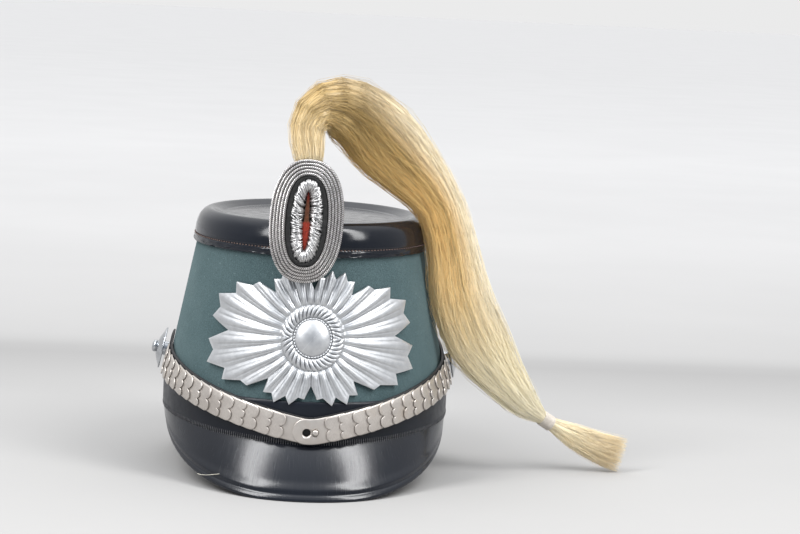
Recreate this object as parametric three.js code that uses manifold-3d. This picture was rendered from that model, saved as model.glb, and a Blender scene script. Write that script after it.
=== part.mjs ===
// Shako: a cloth crown with a leather top, two peaks, chin scales, a front plate, a field badge and a plume.
// Millimetres, +Z up. The front faces -Y, and the hat stands on the lower edges of its two peaks.
import * as THREE from 'three';
import { mergeVertices } from 'three/addons/utils/BufferGeometryUtils.js';
import Module from 'manifold-3d';

const wasm = await Module();
wasm.setup();

// Driving dimensions

const GAP = 0.3; // clearance between pieces that meet
// The crown's axis, from the middle of the whole footprint, and the height of its z 0 above the floor.
const AXIS_PLACE = { x: -59.5, y: 2.5, z: 4.2 };
const ROUND_SIDES = 36; // sides of the crown, its top and its band

// The crown is an oval that narrows upwards from baseZ to topZ, is drawn in at the waist and leans forward.
const CROWN = {
  baseZ: 55,
  baseHalfWidth: 95,
  baseHalfDepth: 108,
  topZ: 147,
  topHalfWidth: 77,
  topHalfDepth: 89,
  waist: 0.2,
  lean: 3,
  wall: 3,
  rimZ: 162.5,
};

// The foot of the crown, where the peaks are sewn on, dips at the front and the rear.
const SEAM = { sideZ: 34, dip: 5 };
const BAND = { thickness: 1.4, topZ: 56 };

// Sections of the leather top, from the skirt's lip to the middle: out is the distance beyond the crown's
// wall, and a row with share 0 is the middle itself.
const TOP_OUTSIDE = [
  { out: 2.4, z: 147 },
  { out: 2.9, z: 150.4 },
  { out: 2.2, z: 151.8 },
  { out: 3.0, z: 153.4 },
  { out: 3.2, z: 158.5 },
  { out: 2.2, z: 164 },
  { out: -0.6, z: 167.5 },
  { out: -4, z: 168.5 },
  { out: -9, z: 166.8 },
  { out: -13, z: 165.2 },
  { share: 0, z: 165.6 },
];
const TOP_INSIDE = [
  { out: 0.4, z: 147 },
  { out: 0.4, z: 163 },
  { out: -8, z: 163 },
  { share: 0, z: 163 },
];

// Each peak reaches out by reach at its middle. Its lower edge lies on the floor between the angles
// -flat and flat, in degrees, and climbs by rise towards riseEnd.
const PEAK = {
  endAngle: 89.3,
  wallMiddle: 3.6,
  wallEnd: 2.4,
  seamOut: 1.5,
  bulgeOut: 0.58,
  bulgeDown: 0.4,
  rise: 30,
  risePower: 1.45,
};
const PEAKS = [
  { name: 'front_peak', turn: 0, reach: 23, narrowing: 2.2, flat: 15, riseEnd: 78, columns: 22 },
  { name: 'rear_peak', turn: 180, reach: 18, narrowing: 2, flat: 20, riseEnd: 84, columns: 18 },
];
// Rows of a peak from its lower edge to the seam: lip is how far the row stands proud of the plain curve.
const PEAK_ROWS = {
  front_peak: [
    { up: 0, lip: 0.6 },
    { up: 0.045, lip: 1.0 },
    { up: 0.1, lip: 0.3 },
    { up: 0.125, lip: 0.35 },
    { up: 0.19, lip: 0.9 },
    { up: 0.3, lip: 0 },
    { up: 0.65, lip: 0 },
    { up: 1, lip: 0 },
  ],
  rear_peak: [
    { up: 0, lip: 0.6 },
    { up: 0.15, lip: 0 },
    { up: 0.55, lip: 0 },
    { up: 1, lip: 0 },
  ],
};

// The chin scales run from boss to boss in a shallow V that is lowest at the front. Along is measured from
// the front along the strap, across from its middle line, and off from the crown's wall. Between
// settleFrom and settleTo the strap leaves the band and settles on the cloth.
const STRAP = {
  frontZ: 37.6,
  risePerRadian: 21.6,
  bendRadians: 0.05,
  radius: 105,
  halfWidth: 8.9,
  off: 2.3,
  thickness: 1.5,
  steps: 20,
  endAlong: 178,
  meetAlong: 3,
  settle: 1.5,
  settleFrom: 128,
  settleTo: 165,
};
const SCALE = {
  count: 14,
  halfWidth: 8.3,
  off: 4.2,
  thickness: 0.9,
  ramp: 1.85,
  overlap: 4.6,
  arch: 0.5,
  lobeDepth: { 2: 3.4, 3: 2.3 },
  segmentsPerLobe: { 2: 4, 3: 3 },
};
const SIDES = [
  { name: 'left', sign: -1, firstEdge: 16.5, pitch: 9.2 },
  { name: 'right', sign: 1, firstEdge: 10.6, pitch: 9.5 },
];
const LEFT_PLATE = { from: -21, to: 6.4, halfWidth: 8.1, columns: 6 };
const TONGUE = { tip: -11.2, end: 15.2, level: 5.5, roundColumns: 5, straightColumns: 4 };
const KEYHOLE = { holeAlong: -1.9, holeRadius: 2.7, slotWidth: 2.2, across: -0.6, sides: 14, depth: 30 };
const STUD = { along: 3.9, radius: 2, clearRadius: 2.4, baseOff: 5.95, height: 2.2 };

// Profile of a boss, from the foot of its shank on the strap: radius from its axis and height.
const BOSS = { angle: 89, off: 4.1, sides: 14 };
const BOSS_PROFILE = [
  { radius: 0, height: 0 },
  { radius: 5, height: 0 },
  { radius: 5, height: 2.9 },
  { radius: 14.2, height: 2.9 },
  { radius: 14.2, height: 3.7 },
  { radius: 12.4, height: 4.4 },
  { radius: 8.8, height: 6 },
  { radius: 5, height: 7.3 },
  { radius: 3.9, height: 7.5 },
  { radius: 4.2, height: 8.9 },
  { radius: 2.9, height: 10.4 },
  { radius: 0, height: 10.9 },
];

// The front plate is an oval sunburst in groups of fluted rays round a leafy ring and a plain dome.
const PLATE = { centreZ: 96.5, halfWidth: 85, halfHeight: 43, wrapRadius: 92, backOff: 1.6, groups: 8 };
const RAY_LENGTHS = [0.9, 1, 1, 0.9]; // the rays of one group, as shares of the oval
const RAY_VALLEY = { inside: 0.88, between: 0.7 }; // the notches inside a group and between two groups
// Stations of the plate from its middle outwards: a ring has a radius, a ray station a share of the ray.
const PLATE_FRONT = [
  { radius: 0, ridge: 6.8, valley: 6.8 },
  { radius: 7, ridge: 6, valley: 6 },
  { radius: 11.5, ridge: 3.8, valley: 3.8 },
  { radius: 13, ridge: 3, valley: 3 },
  { radius: 17, ridge: 5, valley: 4 },
  { radius: 21, ridge: 3.2, valley: 3 },
  { share: 0.25, ridge: 4.8, valley: 3.1 },
  { share: 0.65, ridge: 4.2, valley: 2.9 },
  { share: 1, ridge: 3, valley: 2.7 },
];
const PLATE_BACK = [{ radius: 0 }, { radius: 21 }, { share: 0.35 }, { share: 0.7 }, { share: 1 }];

// The field badge is built of oval rings: each has outer and inner half axes, and a section whose share runs
// from the outer edge to the inner one. The tufts are flutes across a ring.
const BADGE = { x: -7.1, z: 171.1, tilt: 2, backY: -101.5, backing: 1.4, power: 2.4, columns: 26 };
const CORD_ROUNDS = { count: 5, valley: 2.3, crest: 3.5, rise: 0.1 };
const BADGE_RINGS = {
  cockade_backing: { outer: [23.1, 39] },
  cockade_cord: { outer: [23.5, 39.4], inner: [13.4, 29.1] },
  cockade_black_ring: { outer: [13.1, 28.8], inner: [10, 26.8] },
  cockade_bullion: { outer: [9.7, 26.5], inner: [2.9, 19.8], tuft: 0.5 },
  cockade_core: { outer: [2.6, 19.4], height: 2.4 },
};
const BLACK_SECTION = [
  { share: 0, height: 0 },
  { share: 0, height: 2.6 },
  { share: 0.5, height: 3.2 },
  { share: 1, height: 2.8 },
  { share: 1, height: 0 },
];
const BULLION_SECTION = [
  { share: 0, height: 0 },
  { share: 0, height: 3 },
  { share: 0.3, height: 4.8 },
  { share: 0.7, height: 4.9 },
  { share: 1, height: 3.2 },
  { share: 1, height: 0 },
];

const SOCKET = {
  x: -5,
  y: -97.95,
  bottomZ: 149,
  topZ: 200.8,
  halfWidth: 4.4,
  halfDepth: 2.9,
  taper: 0.7,
  sides: 12,
};

// The plume's middle line with the half width across its bend and the half depth from front to rear.
const PLUME_ROWS = [
  { x: -5.3, y: -97, z: 201.3, wide: 6.5, deep: 3.6 },
  { x: -7.5, y: -96.5, z: 217, wide: 8.3, deep: 4.6 },
  { x: -8.5, y: -94, z: 230.5, wide: 9.3, deep: 6 },
  { x: -1, y: -88, z: 241.5, wide: 13, deep: 7.5 },
  { x: 13.2, y: -78, z: 242, wide: 18.5, deep: 8.5 },
  { x: 28.4, y: -62, z: 234.2, wide: 21, deep: 9.5 },
  { x: 45.3, y: -48, z: 218.4, wide: 23.2, deep: 10 },
  { x: 64, y: -39, z: 200.5, wide: 19.5, deep: 10 },
  { x: 82.2, y: -36, z: 179.6, wide: 15, deep: 9.5 },
  { x: 92.4, y: -36, z: 151, wide: 15.3, deep: 9 },
  { x: 97.5, y: -36, z: 127, wide: 18.5, deep: 9 },
  { x: 104.5, y: -35, z: 106, wide: 20, deep: 9 },
  { x: 116, y: -32, z: 84, wide: 19.5, deep: 9 },
  { x: 132.5, y: -28, z: 62.3, wide: 14, deep: 8 },
  { x: 148, y: -25, z: 44.7, wide: 8.8, deep: 6 },
  { x: 161, y: -20, z: 34.7, wide: 4.3, deep: 3.8 },
  { x: 169.5, y: -17, z: 29.1, wide: 4.3, deep: 3.8 },
  { x: 186.5, y: -12, z: 20, wide: 8.5, deep: 5 },
  { x: 205, y: -9.5, z: 12, wide: 11.5, deep: 6 },
  { x: 221.5, y: -9, z: 7, wide: 13.5, deep: 5 },
];
const TIE_ROWS = [15, 16]; // the rows of the plume between which the thread is wrapped
const LOCKS = { count: 6, spread: 0.46, size: 0.58, sides: 6, twist: 0.5, tipSize: 0.5, shorter: 0.3 };
const TIE = { halfLength: 4.5, clear: 0.5, thickness: 1, sides: 14, bulge: 0.5 };

const FINISH = {
  cloth: { color: 0x4a6566, roughness: 0.95, metalness: 0 },
  leather: { color: 0x1d1f24, roughness: 0.3, metalness: 0 },
  strap: { color: 0x17171a, roughness: 0.6, metalness: 0 },
  scale: { color: 0xbdb9b7, roughness: 0.4, metalness: 0.9 },
  chrome: { color: 0xc4c8cc, roughness: 0.12, metalness: 1 },
  plate: { color: 0xd8dadd, roughness: 0.45, metalness: 0.9 },
  cord: { color: 0xa3a1a0, roughness: 0.5, metalness: 0.7 },
  black: { color: 0x2a2a2c, roughness: 0.95, metalness: 0 },
  red: { color: 0x9a4537, roughness: 0.9, metalness: 0 },
  hair: { color: 0xd8b878, roughness: 0.6, metalness: 0 },
  thread: { color: 0xe7ddd3, roughness: 0.9, metalness: 0 },
};

// Mesh building

const radians = THREE.MathUtils.degToRad;
const { lerp, clamp, smoothstep } = THREE.MathUtils;
const range = (count, from, to) => Array.from({ length: count + 1 }, (_, i) => lerp(from, to, i / count));
const turnAngles = (count) => Array.from({ length: count }, (_, i) => (2 * Math.PI * i) / count);

// Triangles of a grid of points. They face the way of columns x rows, or the other way if flipped.
function gridFaces(rows, { closed = false, flip = false } = {}) {
  const faces = [];
  const columns = rows[0].length;
  const spans = closed ? columns : columns - 1;
  for (let i = 0; i + 1 < rows.length; i += 1) {
    for (let j = 0; j < spans; j += 1) {
      const k = (j + 1) % columns;
      const [a, b, c, d] = [rows[i][j], rows[i][k], rows[i + 1][k], rows[i + 1][j]];
      faces.push(flip ? [a, c, b] : [a, b, c]);
      faces.push(flip ? [a, d, c] : [a, c, d]);
    }
  }
  return faces;
}

// One closed geometry with shared vertices, without the triangles that have shrunk to a line.
function geometryFrom(faces) {
  const loose = new THREE.BufferGeometry().setFromPoints(faces.flat());
  const merged = mergeVertices(loose, 1e-3);
  const kept = [];
  for (let i = 0; i < merged.index.count; i += 3) {
    const corners = [0, 1, 2].map((k) => merged.index.getX(i + k));
    if (new Set(corners).size === 3) kept.push(...corners);
  }
  merged.setIndex(kept);
  merged.computeVertexNormals();
  return merged;
}

// A sheet between a front and a back grid. A closed sheet runs all the way round.
function sheetGeometry(front, back, closed = false) {
  const column = (rows, j) => rows.map((row) => row.at(j));
  const faces = [
    ...gridFaces(front, { closed }),
    ...gridFaces(back, { closed, flip: true }),
    ...gridFaces([back[0], front[0]], { closed }),
    ...gridFaces([front.at(-1), back.at(-1)], { closed }),
  ];
  if (!closed) {
    faces.push(...gridFaces([column(front, 0), column(back, 0)]));
    faces.push(...gridFaces([column(back, -1), column(front, -1)]));
  }
  return geometryFrom(faces);
}

function toSolid(geometry) {
  const vertProperties = new Float32Array(geometry.attributes.position.array);
  const triVerts = new Uint32Array(geometry.index.array);
  return new wasm.Manifold(new wasm.Mesh({ numProp: 3, vertProperties, triVerts }));
}

function toGeometry(solid) {
  const mesh = solid.getMesh();
  const geometry = new THREE.BufferGeometry();
  geometry.setAttribute('position', new THREE.BufferAttribute(new Float32Array(mesh.vertProperties), 3));
  geometry.setIndex([...mesh.triVerts]);
  geometry.computeVertexNormals();
  return geometry;
}

function bare(geometry) {
  const copy = geometry.clone();
  copy.deleteAttribute('normal');
  copy.deleteAttribute('uv');
  return mergeVertices(copy, 1e-3);
}

function named(name, geometry, finish) {
  const mesh = new THREE.Mesh(geometry, new THREE.MeshStandardMaterial(FINISH[finish]));
  mesh.name = name;
  return mesh;
}

// Crown

// A point at a height on the crown, off beyond its wall. Angle 0 is the front and a quarter turn is +X.
function crownPoint(angle, z, off = 0) {
  const up = Math.max((z - CROWN.baseZ) / (CROWN.topZ - CROWN.baseZ), 0);
  const drawn = CROWN.waist * 4 * Math.min(up, 1) * (1 - Math.min(up, 1));
  const halfWidth = lerp(CROWN.baseHalfWidth, CROWN.topHalfWidth, up) - drawn + off;
  const halfDepth = lerp(CROWN.baseHalfDepth, CROWN.topHalfDepth, up) - drawn + off;
  return new THREE.Vector3(halfWidth * Math.sin(angle), -halfDepth * Math.cos(angle) - CROWN.lean * up, z);
}

const seamZ = (angle) => SEAM.sideZ - SEAM.dip * Math.cos(angle) ** 2;
const roundAngles = turnAngles(ROUND_SIDES);
const crownRing = (height, off) => roundAngles.map((angle) => crownPoint(angle, height(angle), off));

function crownShell() {
  const heights = [
    (angle) => seamZ(angle) + 2 * GAP,
    () => CROWN.baseZ,
    () => lerp(CROWN.baseZ, CROWN.topZ, 0.5),
    () => CROWN.topZ,
    () => CROWN.rimZ,
  ];
  const wall = (off) => heights.map((height) => crownRing(height, off));
  return sheetGeometry(wall(0), wall(-CROWN.wall), true);
}

function crownTop() {
  const middle = (z) => crownPoint(Math.PI / 2, z).setX(0);
  const section = (rows) =>
    rows.map(({ out, z, share }) => {
      const ring = crownRing(() => z, out ?? 0);
      return share === 0 ? ring.map(() => middle(z)) : ring;
    });
  return sheetGeometry(section(TOP_OUTSIDE), section(TOP_INSIDE), true);
}

function baseBand() {
  const heights = [(angle) => seamZ(angle) + GAP, () => BAND.topZ];
  const face = (off) => heights.map((height) => crownRing(height, off));
  return sheetGeometry(face(GAP + BAND.thickness), face(GAP), true);
}

// Peaks

function peak({ name, reach, narrowing, flat, riseEnd, columns }) {
  const angles = range(columns, -PEAK.endAngle, PEAK.endAngle).map(radians);
  const edgeZ = (angle) => {
    const climb = (Math.abs(angle) - radians(flat)) / radians(riseEnd - flat);
    return PEAK.rise * clamp(climb, 0, 1) ** PEAK.risePower - AXIS_PLACE.z;
  };
  const point = (angle, { up, lip }, wall) => {
    const edge = { out: reach * Math.cos(angle) ** narrowing, z: edgeZ(angle) };
    const seam = { out: PEAK.seamOut, z: seamZ(angle) };
    const bulge = {
      out: lerp(seam.out, edge.out, PEAK.bulgeOut),
      z: lerp(seam.z, edge.z, PEAK.bulgeDown),
    };
    const mix = (key) => lerp(lerp(edge[key], bulge[key], up), lerp(bulge[key], seam[key], up), up);
    const thickness = lerp(PEAK.wallEnd, PEAK.wallMiddle, Math.cos(angle));
    const out = mix('out') + lip * Math.cos(angle) - wall * thickness;
    return crownPoint(angle, 0, out).setZ(mix('z'));
  };
  const rows = PEAK_ROWS[name];
  const face = (wall) => rows.map((row) => angles.map((angle) => point(angle, row, wall)));
  return sheetGeometry(face(0), face(1));
}

// Chin scales

function strapPoint(along, across, off) {
  const angle = along / STRAP.radius;
  const bend = Math.hypot(angle, STRAP.bendRadians);
  const tilt = Math.atan((STRAP.risePerRadian * angle) / bend / STRAP.radius);
  const middleZ = STRAP.frontZ + STRAP.risePerRadian * (bend - STRAP.bendRadians);
  const settled = STRAP.settle * smoothstep(Math.abs(along), STRAP.settleFrom, STRAP.settleTo);
  const turned = angle - (across * Math.sin(tilt)) / STRAP.radius;
  return crownPoint(turned, middleZ + across * Math.cos(tilt), off - settled);
}

function backingStrap(from, to) {
  const alongs = range(STRAP.steps, from, to);
  const acrosses = [-STRAP.halfWidth, 0, STRAP.halfWidth];
  const face = (off) => acrosses.map((across) => alongs.map((along) => strapPoint(along, across, off)));
  return sheetGeometry(face(STRAP.off + STRAP.thickness), face(STRAP.off));
}

// A metal plate on the strap, arched across. columns gives, for a place across it, the pairs along and off.
function strapPlate(acrosses, columns) {
  const face = (lift) =>
    acrosses.map((share) =>
      columns(share).map(({ along, off, across }) => {
        const arch = SCALE.arch * (1 - (across / SCALE.halfWidth) ** 2);
        return strapPoint(along, across, off + arch + lift);
      }),
    );
  return sheetGeometry(face(SCALE.thickness), face(0));
}

// A scale's free edge is cut in round lobes and points to the front. It rises over the next scale's root.
function chinScale({ sign, firstEdge, pitch }, index) {
  const lobes = index % 2 === 0 ? 2 : 3;
  const free = firstEdge + index * pitch;
  const root = free + pitch + SCALE.overlap;
  const acrosses = range(lobes * SCALE.segmentsPerLobe[lobes], -1, 1);
  return strapPlate(acrosses, (share) => {
    const inLobe = ((((share + 1) / 2) * lobes) % 1) * 2 - 1;
    const notch = SCALE.lobeDepth[lobes] * (1 - Math.sqrt(Math.max(1 - inLobe ** 2, 0)));
    const across = share * SCALE.halfWidth;
    const ends = [free + notch, root].map((distance) => ({
      along: sign * distance,
      across,
      off: SCALE.off + (SCALE.ramp * (root - distance)) / (root - free),
    }));
    return sign > 0 ? ends : ends.reverse();
  });
}

// A straight cutter through the plates, square to the crown's front.
function cutter(along, radius) {
  const geometry = new THREE.CylinderGeometry(radius, radius, KEYHOLE.depth, KEYHOLE.sides);
  const place = strapPoint(along, KEYHOLE.across, STRAP.off);
  return toSolid(bare(geometry)).translate([place.x, place.y, place.z]);
}

function leftPlate() {
  const alongs = range(LEFT_PLATE.columns, LEFT_PLATE.from, LEFT_PLATE.to);
  const plate = strapPlate(range(4, -1, 1), (share) =>
    alongs.map((along) => ({ along, across: share * LEFT_PLATE.halfWidth, off: SCALE.off })),
  );
  return toGeometry(toSolid(plate).subtract(cutter(KEYHOLE.holeAlong, KEYHOLE.holeRadius)));
}

function tonguePlate() {
  const roundMiddle = TONGUE.tip + SCALE.halfWidth;
  const roundEnd = range(TONGUE.roundColumns, Math.PI / 2, 0).map((turn) => ({
    along: roundMiddle - SCALE.halfWidth * Math.sin(turn),
    half: SCALE.halfWidth * Math.cos(turn),
  }));
  const straight = range(TONGUE.straightColumns, roundMiddle, TONGUE.end).slice(1);
  const columns = [...roundEnd, ...straight.map((along) => ({ along, half: SCALE.halfWidth }))];
  const slope = SCALE.ramp / (SIDES[1].pitch + SCALE.overlap);
  const plate = strapPlate(range(4, -1, 1), (share) =>
    columns.map(({ along, half }) => ({
      along,
      across: share * half,
      off: Math.min(SCALE.off + slope * (TONGUE.end - along), TONGUE.level),
    })),
  );
  const slotMiddle = (KEYHOLE.holeAlong + STUD.along) / 2;
  const slot = new THREE.BoxGeometry(STUD.along - KEYHOLE.holeAlong, KEYHOLE.depth, KEYHOLE.slotWidth);
  const slotPlace = strapPoint(slotMiddle, KEYHOLE.across, STRAP.off);
  const keyhole = cutter(KEYHOLE.holeAlong, KEYHOLE.holeRadius)
    .add(cutter(STUD.along, STUD.clearRadius))
    .add(toSolid(bare(slot)).translate([slotPlace.x, slotPlace.y, slotPlace.z]));
  return toGeometry(toSolid(plate).subtract(keyhole));
}

function latheGeometry(profile, sides) {
  const points = profile.map(({ radius, height }) => new THREE.Vector2(radius, height));
  return bare(new THREE.LatheGeometry(points, sides));
}

function strapStud() {
  const { radius, height } = STUD;
  const profile = [
    { radius: 0, height: 0 },
    { radius, height: 0 },
    { radius, height: height * 0.75 },
    { radius: radius * 0.7, height },
    { radius: 0, height: height * 1.05 },
  ];
  const stud = named('strap_stud', latheGeometry(profile, KEYHOLE.sides), 'scale');
  stud.position.copy(strapPoint(STUD.along, KEYHOLE.across, STUD.baseOff));
  stud.rotation.x = Math.PI;
  return stud;
}

function boss({ name, sign }) {
  const along = sign * radians(BOSS.angle) * STRAP.radius;
  const foot = strapPoint(along, 0, BOSS.off);
  const below = strapPoint(along, -SCALE.halfWidth, BOSS.off);
  const wallUp = foot.clone().sub(below).setY(0).normalize();
  const outward = new THREE.Vector3(sign * wallUp.z, 0, -sign * wallUp.x);
  const mesh = named(`boss_${name}`, latheGeometry(BOSS_PROFILE, BOSS.sides), 'chrome');
  mesh.position.copy(foot);
  mesh.quaternion.setFromUnitVectors(new THREE.Vector3(0, 1, 0), outward);
  return mesh;
}

// Front plate

function frontPlate() {
  const raysPerGroup = RAY_LENGTHS.length;
  const columns = PLATE.groups * raysPerGroup * 2;
  const innerRadius = Math.max(...PLATE_FRONT.map(({ radius }) => radius ?? 0));
  const station = (c, row) => {
    const turn = (2 * Math.PI * c) / columns;
    const [across, up] = [Math.cos(turn), Math.sin(turn)];
    const isRidge = c % 2 === 1;
    const betweenGroups = c % (raysPerGroup * 2) === 0;
    const valley = betweenGroups ? RAY_VALLEY.between : RAY_VALLEY.inside;
    const length = isRidge ? RAY_LENGTHS[((c - 1) / 2) % raysPerGroup] : valley;
    const outline = length / Math.hypot(across / PLATE.halfWidth, up / PLATE.halfHeight);
    const radius = row.radius ?? lerp(innerRadius, outline, row.share);
    const off = (isRidge ? row.ridge : row.valley) ?? PLATE.backOff;
    return crownPoint((radius * across) / PLATE.wrapRadius, PLATE.centreZ + radius * up, off);
  };
  const face = (rows) => rows.map((row) => Array.from({ length: columns }, (_, c) => station(c, row)));
  const front = face(PLATE_FRONT);
  const back = face(PLATE_BACK);
  return geometryFrom([
    ...gridFaces(front, { closed: true, flip: true }),
    ...gridFaces(back, { closed: true }),
    ...gridFaces([front.at(-1), back.at(-1)], { closed: true, flip: true }),
  ]);
}

// Field badge

// A point of an oval with half axes [x, z], at a height in front of the badge's backing.
function ovalPoint(turn, [halfX, halfZ], height) {
  const round = (value) => Math.sign(value) * Math.abs(value) ** (2 / BADGE.power);
  return new THREE.Vector3(halfX * round(Math.cos(turn)), -height, halfZ * round(Math.sin(turn)));
}

function ovalRing({ outer, inner, tuft = 0 }, section) {
  const turns = turnAngles(BADGE.columns);
  const rows = [...section, section[0]].map(({ share, height }) =>
    turns.map((turn, i) => {
      const axes = outer.map((half, k) => lerp(half, inner[k], share));
      const flute = height > 0 && i % 2 === 1 ? tuft : 0;
      return ovalPoint(turn, axes, height - flute);
    }),
  );
  return geometryFrom(gridFaces(rows, { closed: true }));
}

function ovalDisc({ outer }, thickness, dome = 0) {
  const turns = turnAngles(BADGE.columns);
  const rows = [
    { axes: [0, 0], height: 0 },
    { axes: outer, height: 0 },
    { axes: outer, height: thickness },
    { axes: [0, 0], height: thickness + dome },
  ];
  return geometryFrom(
    gridFaces(
      rows.map(({ axes, height }) => turns.map((turn) => ovalPoint(turn, axes, height))),
      { closed: true },
    ),
  );
}

function cordSection() {
  const { count, valley, crest, rise } = CORD_ROUNDS;
  const bumps = range(count * 2, 0, 1).map((share, i) => ({
    share,
    height: (i % 2 === 1 ? crest : valley) + rise * i * 0.5,
  }));
  return [{ share: 0, height: 0 }, ...bumps, { share: 1, height: 0 }];
}

function fieldBadge() {
  const rings = BADGE_RINGS;
  const backing = named('cockade_backing', ovalDisc(rings.cockade_backing, BADGE.backing), 'black');
  const front = [
    named('cockade_cord', ovalRing(rings.cockade_cord, cordSection()), 'cord'),
    named('cockade_black_ring', ovalRing(rings.cockade_black_ring, BLACK_SECTION), 'black'),
    named('cockade_bullion', ovalRing(rings.cockade_bullion, BULLION_SECTION), 'cord'),
    named('cockade_core', ovalDisc(rings.cockade_core, rings.cockade_core.height, 0.5), 'red'),
  ];
  const group = new THREE.Group();
  front.forEach((mesh) => mesh.position.setY(-BADGE.backing - GAP));
  group.add(backing, ...front);
  group.position.set(BADGE.x, BADGE.backY, BADGE.z);
  group.rotation.y = radians(BADGE.tilt);
  return group;
}

function plumeSocket() {
  const { halfWidth, halfDepth, taper, sides, bottomZ, topZ } = SOCKET;
  const geometry = bare(new THREE.CylinderGeometry(1, taper, topZ - bottomZ, sides));
  geometry.rotateX(Math.PI / 2);
  geometry.scale(halfWidth, halfDepth, 1);
  const mesh = named('plume_socket', geometry, 'strap');
  mesh.position.set(SOCKET.x, SOCKET.y, (bottomZ + topZ) / 2);
  return mesh;
}

// Plume

const plumeCurve = new THREE.CatmullRomCurve3(PLUME_ROWS.map(({ x, y, z }) => new THREE.Vector3(x, y, z)));

// The plume's middle, directions and half sizes at a place counted in rows.
function plumeStation(row) {
  const last = PLUME_ROWS.length - 1;
  const place = clamp(row, 0, last);
  const i = Math.min(Math.floor(place), last - 1);
  const size = (key) => lerp(PLUME_ROWS[i][key], PLUME_ROWS[i + 1][key], place - i);
  const tangent = plumeCurve.getTangent(place / last);
  const across = tangent.clone().cross(new THREE.Vector3(0, 1, 0)).normalize();
  const inward = tangent.clone().cross(across);
  const middle = plumeCurve.getPoint(place / last);
  return { middle, tangent, across, inward, wide: size('wide'), deep: size('deep') };
}

// One lock runs the plume's whole length, beside the others, and narrows to its tip.
function plumeLock(index) {
  const { count, spread, size, sides, twist, tipSize, shorter } = LOCKS;
  const last = PLUME_ROWS.length - 1;
  const end = last - shorter * (index % 3);
  const rows = [...range(last - 1, 0, last - 1), end].map((row) => {
    const { middle, across, inward, wide, deep } = plumeStation(row);
    const place = (2 * Math.PI * index) / count + (twist * row) / last;
    const pastTie = Math.max((row - TIE_ROWS[1]) / (end - TIE_ROWS[1]), 0);
    const narrow = lerp(1, tipSize, pastTie);
    return turnAngles(sides).map((turn) => {
      const u = wide * (spread * Math.cos(place) + size * narrow * Math.cos(turn));
      const v = deep * (spread * Math.sin(place) + size * narrow * Math.sin(turn));
      return middle.clone().addScaledVector(across, u).addScaledVector(inward, v);
    });
  });
  const centreOf = (ring) => {
    const centre = ring.reduce((sum, p) => sum.add(p), new THREE.Vector3()).divideScalar(ring.length);
    return ring.map(() => centre);
  };
  return geometryFrom(gridFaces([centreOf(rows[0]), ...rows, centreOf(rows.at(-1))], { closed: true }));
}

function plume() {
  const locks = range(LOCKS.count - 1, 0, LOCKS.count - 1).map((index) => toSolid(plumeLock(index)));
  return toGeometry(locks.reduce((joined, lock) => joined.add(lock)));
}

function plumeTie() {
  const { middle, tangent, across, inward, wide, deep } = plumeStation((TIE_ROWS[0] + TIE_ROWS[1]) / 2);
  const face = (grow, bulge) =>
    [-1, 0, 1].map((end) =>
      turnAngles(TIE.sides).map((turn) => {
        const swell = grow + bulge * (1 - end ** 2);
        const reach = wide * (LOCKS.spread + LOCKS.size) + TIE.clear + swell;
        const depth = deep * (LOCKS.spread + LOCKS.size) + TIE.clear + swell;
        return middle
          .clone()
          .addScaledVector(tangent, end * TIE.halfLength)
          .addScaledVector(across, reach * Math.cos(turn))
          .addScaledVector(inward, depth * Math.sin(turn));
      }),
    );
  return sheetGeometry(face(TIE.thickness, TIE.bulge), face(0, 0), true);
}

// Assembly

const hat = new THREE.Group();
hat.position.set(AXIS_PLACE.x, AXIS_PLACE.y, AXIS_PLACE.z);
hat.add(
  named('crown_shell', crownShell(), 'cloth'),
  named('crown_top', crownTop(), 'leather'),
  named('base_band', baseBand(), 'leather'),
);
for (const shape of PEAKS) {
  const mesh = named(shape.name, peak(shape), 'leather');
  mesh.rotation.z = radians(shape.turn);
  hat.add(mesh);
}
hat.add(
  named('strap_left', backingStrap(-STRAP.endAlong, STRAP.meetAlong), 'strap'),
  named('strap_right', backingStrap(STRAP.meetAlong + 2 * GAP, STRAP.endAlong), 'strap'),
  named('end_plate_left', leftPlate(), 'scale'),
  named('end_plate_right', tonguePlate(), 'scale'),
  strapStud(),
);
for (const side of SIDES) {
  for (let index = 0; index < SCALE.count; index += 1) {
    const number = String(index + 1).padStart(2, '0');
    hat.add(named(`scale_${side.name}_${number}`, chinScale(side, index), 'scale'));
  }
  hat.add(boss(side));
}
hat.add(
  named('front_plate', frontPlate(), 'plate'),
  fieldBadge(),
  plumeSocket(),
  named('plume', plume(), 'hair'),
  named('plume_tie', plumeTie(), 'thread'),
);

const shako = new THREE.Group();
shako.add(hat);

export default shako;
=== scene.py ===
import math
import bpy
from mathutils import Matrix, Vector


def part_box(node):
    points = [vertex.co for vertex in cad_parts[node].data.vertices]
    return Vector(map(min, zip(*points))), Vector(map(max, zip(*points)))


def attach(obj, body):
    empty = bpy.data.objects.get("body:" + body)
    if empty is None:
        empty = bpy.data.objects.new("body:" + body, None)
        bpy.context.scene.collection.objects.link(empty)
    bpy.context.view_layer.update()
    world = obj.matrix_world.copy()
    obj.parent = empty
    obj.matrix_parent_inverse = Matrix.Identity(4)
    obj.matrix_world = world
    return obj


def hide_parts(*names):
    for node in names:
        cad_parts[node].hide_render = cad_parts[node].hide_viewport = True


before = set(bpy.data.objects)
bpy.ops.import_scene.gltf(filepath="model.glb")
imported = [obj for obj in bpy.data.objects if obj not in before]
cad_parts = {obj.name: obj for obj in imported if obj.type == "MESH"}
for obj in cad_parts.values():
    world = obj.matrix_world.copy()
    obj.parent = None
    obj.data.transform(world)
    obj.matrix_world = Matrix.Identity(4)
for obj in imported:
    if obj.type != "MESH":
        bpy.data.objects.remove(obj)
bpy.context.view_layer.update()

# Shako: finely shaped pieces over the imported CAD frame, with procedural materials.
# Sizes are in millimetres from the crown's axis, with z 0 a little above the floor. The front faces -Y.
from types import SimpleNamespace as Group

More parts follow.
